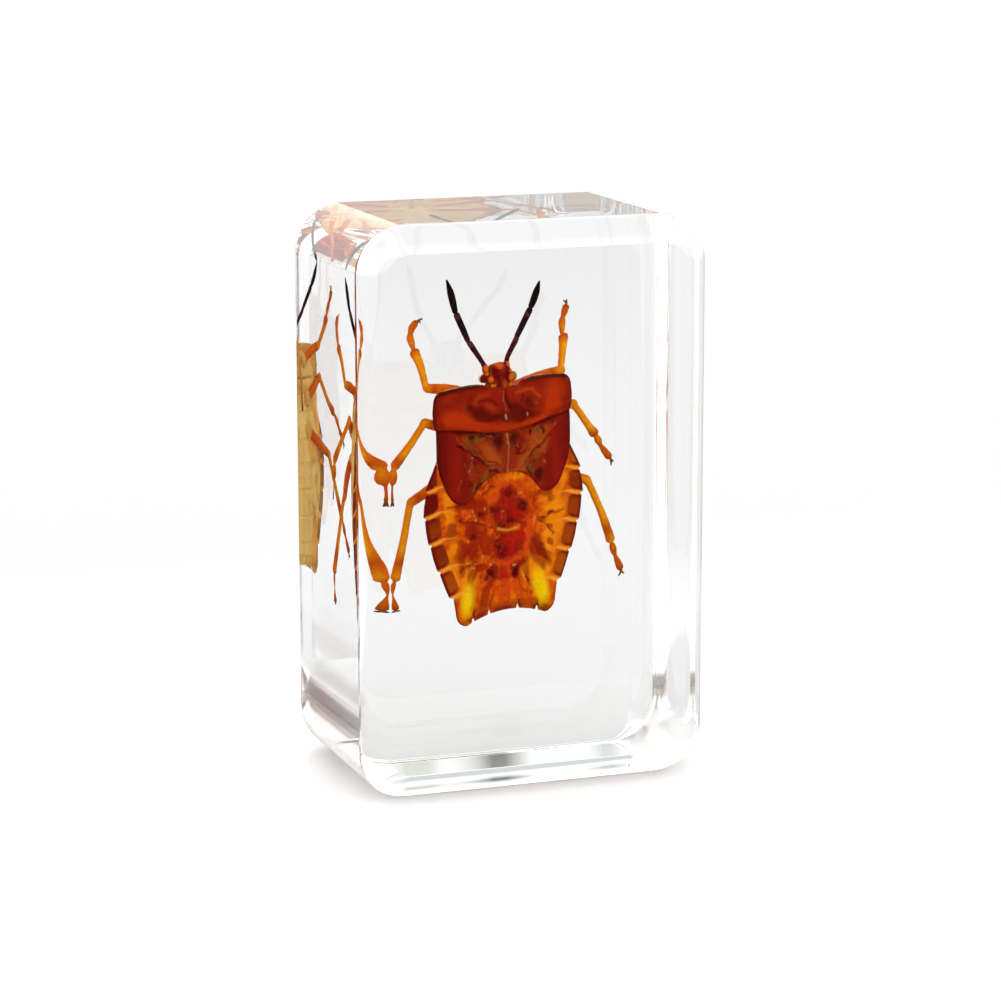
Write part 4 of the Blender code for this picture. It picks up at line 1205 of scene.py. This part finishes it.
# black horn, dark maroon at the root
antennaShell = shell("black antenna shell", antennae["look"])
for limb in limbs:
    if "leg" in limb:
        finishInsectPiece(makeLeg(limb), legShell)
    else:
        finishInsectPiece(makeAntenna(limb), antennaShell)
print("limbs made")

studio = {
    # painted shade: the floor darkens from front to back
    "floorFront": "#e6e6e6", "floorBack": "#c3c3c3",     # the light falls off behind the block
    "fadeFrom": 0.0, "fadeTo": 0.08,
    "floorDrop": 0.00018,      # how far the floor lies under the block's foot
    "floorReach": 3.0,
    # painted shade: a grey patch in the floor's colour that lies behind the block and is just hidden
    # by it, so that the clear resin reads against the white
    "shadePatchNear": "#c8c8c8", "shadePatchFar": "#bcbcbc",
    "shadePatchFrom": 0.0, "shadePatchTo": 0.31,
    "shadePatchPoint": (-0.089, -0.248, 0.0),    # its two sides run away from this point on the floor
    "shadePatchAngles": (16.65, 22.85),          # at these compass angles from straight back
    "shadePatchSoftSides": 0.006, "shadePatchSoftEnds": 0.01,
    "strength": 1.9,
    "light": "#ffffff",
    "below": "#161718",
    "horizon": 0.08,           # the direction's fall over which the light fades to that
    # darker gaps between the lamps' soft screens, which the buffed rims pick up as thin lines:
    # the compass angle from straight back, the height, the half width in degrees, and the colour
    "gaps": (
        (19.5, 6.5, 4.5, "#a8aaab"), (134, 60, 12, "#808284"), (-136, 51, 9, "#808284"),
        (-31, 4, 5, "#66686a"),
    ),
    "gapSoft": 0.25,           # share of that width over which they fade, on either side
    # upright slots between the back lamps: the direction's x from and to, its height in degrees
    # seen from the side from and to, and the colour
    "slots": (
        (0.292, 0.3125, 13.5, 19.0, "#a6a6a0"), (0.316, 0.3335, 13.5, 19.0, "#4c4d47"),
        (0.3465, 0.3625, 14.0, 17.6, "#606667"),
    ),
    "slotSoftX": 0.007, "slotSoftHeight": 0.045,
}


def within(tree, value, low, high, soft):
    # 1 where the value lies between two others, fading out over soft on either side of each
    over, past = [
        add(tree, "ShaderNodeMapRange", {"From Min": edge - soft, "From Max": edge + soft}, {"Value": value})
        for edge in (low, high)
    ]
    both = {0: over.outputs[0], 1: past.outputs[0]}
    return add(tree, "ShaderNodeMath", {"operation": "SUBTRACT"}, both).outputs[0]


def makeFloor():
    # pale sheet, a flat square grid a hair under the block's foot, darker behind the block and with a grey
    # patch there, both painted shade; the block's own shine doesn't pick it up, so that the insect shows as
    # deep as it does behind a dark card
    side = np.linspace(-studio["floorReach"], studio["floorReach"], 3)
    x, y = np.meshgrid(side, side)
    points = np.stack((x, y, np.full_like(x, -studio["floorDrop"])), axis=-1)
    index = np.arange(x.size).reshape(x.shape)
    quads = np.stack((index[:-1, :-1], index[:-1, 1:], index[1:, 1:], index[1:, :-1]), axis=-1)
    mesh = bpy.data.meshes.new("floor")
    mesh.from_pydata(points.reshape(-1, 3), [], quads.reshape(-1, 4).tolist())
    # matt coated card, which scatters the light evenly
    material, tree = newMaterial("matt white card")
    where = add(tree, "ShaderNodeTexCoord").outputs["Object"]
    away = add(tree, "ShaderNodeSeparateXYZ", links={"Vector": where}).outputs["Y"]
    # painted shade: a grey patch behind the block, between two lines from a point on the floor and two
    # distances back
    fromPoint = add(tree, "ShaderNodeVectorMath", {
        "operation": "SUBTRACT", 1: studio["shadePatchPoint"],
    }, {0: where}).outputs[0]
    offset = add(tree, "ShaderNodeSeparateXYZ", links={"Vector": fromPoint}).outputs
    slope = add(tree, "ShaderNodeMath", {"operation": "DIVIDE"}, {0: offset["X"], 1: offset["Y"]}).outputs[0]
    left, right = [math.tan(math.radians(angle)) for angle in studio["shadePatchAngles"]]
    inside = add(tree, "ShaderNodeMath", {"operation": "MULTIPLY"}, {
        0: within(tree, slope, left, right, studio["shadePatchSoftSides"]),
        1: within(tree, away, studio["shadePatchFrom"], studio["shadePatchTo"], studio["shadePatchSoftEnds"]),
    })
    far = add(tree, "ShaderNodeMapRange", {
        "From Min": studio["shadePatchFrom"], "From Max": studio["shadePatchTo"],
    }, {"Value": away})
    # the painted shade patch's colour, lighter near and darker far
    card = add(tree, "ShaderNodeMix", {
        "data_type": "RGBA", 6: linear(studio["shadePatchNear"]), 7: linear(studio["shadePatchFar"]),
    }, {0: far.outputs[0]}).outputs[2]
    # painted shade: the sheet darker from front to back
    fade = add(tree, "ShaderNodeMapRange", {
        "From Min": studio["fadeFrom"], "From Max": studio["fadeTo"],
    }, {"Value": away})
    sheet = add(tree, "ShaderNodeMix", {
        "data_type": "RGBA", 6: linear(studio["floorFront"]), 7: linear(studio["floorBack"]),
    }, {0: fade.outputs[0]}).outputs[2]
    colour = add(tree, "ShaderNodeMix", {"data_type": "RGBA"}, {
        0: inside.outputs[0], 6: sheet, 7: card,
    }).outputs[2]
    shader = add(tree, "ShaderNodeBsdfPrincipled", {
        "Roughness": 0.9, "Specular IOR Level": 0.1,
    }, {"Base Color": colour})
    add(tree, "ShaderNodeOutputMaterial", links={"Surface": shader.outputs[0]})
    mesh.materials.append(material)
    floor = placed("floor", mesh)
    floor.visible_glossy = False


def makeWorld():
    # white studio, seen by its direction, with the gaps and slots and a dark lower half
    world = bpy.data.worlds.new("studio")
    bpy.context.scene.world = world
    world.use_nodes = True
    tree = world.node_tree
    way = add(tree, "ShaderNodeTexCoord").outputs["Generated"]
    parts = add(tree, "ShaderNodeSeparateXYZ", links={"Vector": way}).outputs
    rise = add(tree, "ShaderNodeMath", {"operation": "ARCTAN2"}, {0: parts["Z"], 1: parts["Y"]})
    below = add(tree, "ShaderNodeMapRange", {
        "From Min": 0.0, "From Max": -studio["horizon"],
    }, {"Value": parts["Z"]})
    light = add(tree, "ShaderNodeMix", {
        "data_type": "RGBA", 6: linear(studio["light"]), 7: linear(studio["below"]),
    }, {0: below.outputs[0]}).outputs[2]
    for turn, height, half, paint in studio["gaps"]:
        turn, height = math.radians(turn), math.radians(height)
        axis = (math.sin(turn) * math.cos(height), math.cos(turn) * math.cos(height), math.sin(height))
        near = add(tree, "ShaderNodeVectorMath", {"operation": "DOT_PRODUCT", 1: axis}, {0: way})
        outer, inner = [math.cos(math.radians(half * (1 + soft)))
                        for soft in (studio["gapSoft"], -studio["gapSoft"])]
        gap = add(tree, "ShaderNodeMapRange", {
            "From Min": outer, "From Max": inner,
        }, {"Value": near.outputs["Value"]})
        light = add(tree, "ShaderNodeMix", {"data_type": "RGBA", 7: linear(paint)},
                    {0: gap.outputs[0], 6: light}).outputs[2]
    for left, right, low, high, paint in studio["slots"]:
        low, high = math.radians(low), math.radians(high)
        slot = add(tree, "ShaderNodeMath", {"operation": "MULTIPLY"}, {
            0: within(tree, parts["X"], left, right, studio["slotSoftX"]),
            1: within(tree, rise.outputs[0], low, high, studio["slotSoftHeight"]),
        })
        light = add(tree, "ShaderNodeMix", {"data_type": "RGBA", 7: linear(paint)},
                    {0: slot.outputs[0], 6: light}).outputs[2]
    background = tree.nodes["Background"]
    tree.links.new(light, background.inputs["Color"])
    background.inputs["Strength"].default_value = studio["strength"]


view = {
    "frame": 1001,           # the picture's width in pixels
    "lens": 3436.97,         # focal length in those pixels
    "sensor": 36.0,
    "place": (-0.089038, -0.248219, 0.074819),
    "yaw": 19.772, "pitch": 11.538, "roll": -0.08,
}


def makeCamera():
    # pinhole at the photo's viewpoint, turned by yaw from straight back, then pitched down
    camera = bpy.data.cameras.new("camera")
    camera.sensor_width = view["sensor"]
    camera.lens = view["lens"] / view["frame"] * view["sensor"]
    camera.clip_start = 0.01
    camera.clip_end = 50.0
    holder = placed("camera", camera)
    yaw, pitch = math.radians(view["yaw"]), math.radians(view["pitch"])
    ahead = Vector((math.sin(yaw) * math.cos(pitch), math.cos(yaw) * math.cos(pitch), -math.sin(pitch)))
    right = ahead.cross(Vector((0, 0, 1))).normalized()
    turned = Matrix.Rotation(-math.radians(view["roll"]), 4, ahead)
    axes = Matrix((right, right.cross(ahead), -ahead)).transposed().to_4x4()
    holder.matrix_world = Matrix.Translation(view["place"]) @ turned @ axes
    bpy.context.scene.camera = holder


makeFloor()
makeWorld()
makeCamera()
scene = bpy.context.scene
scene.view_settings.view_transform = "Standard"
scene.cycles.max_bounces = 48
scene.cycles.transmission_bounces = 48
scene.cycles.glossy_bounces = 48
scene.cycles.transparent_max_bounces = 16
print("studio made")
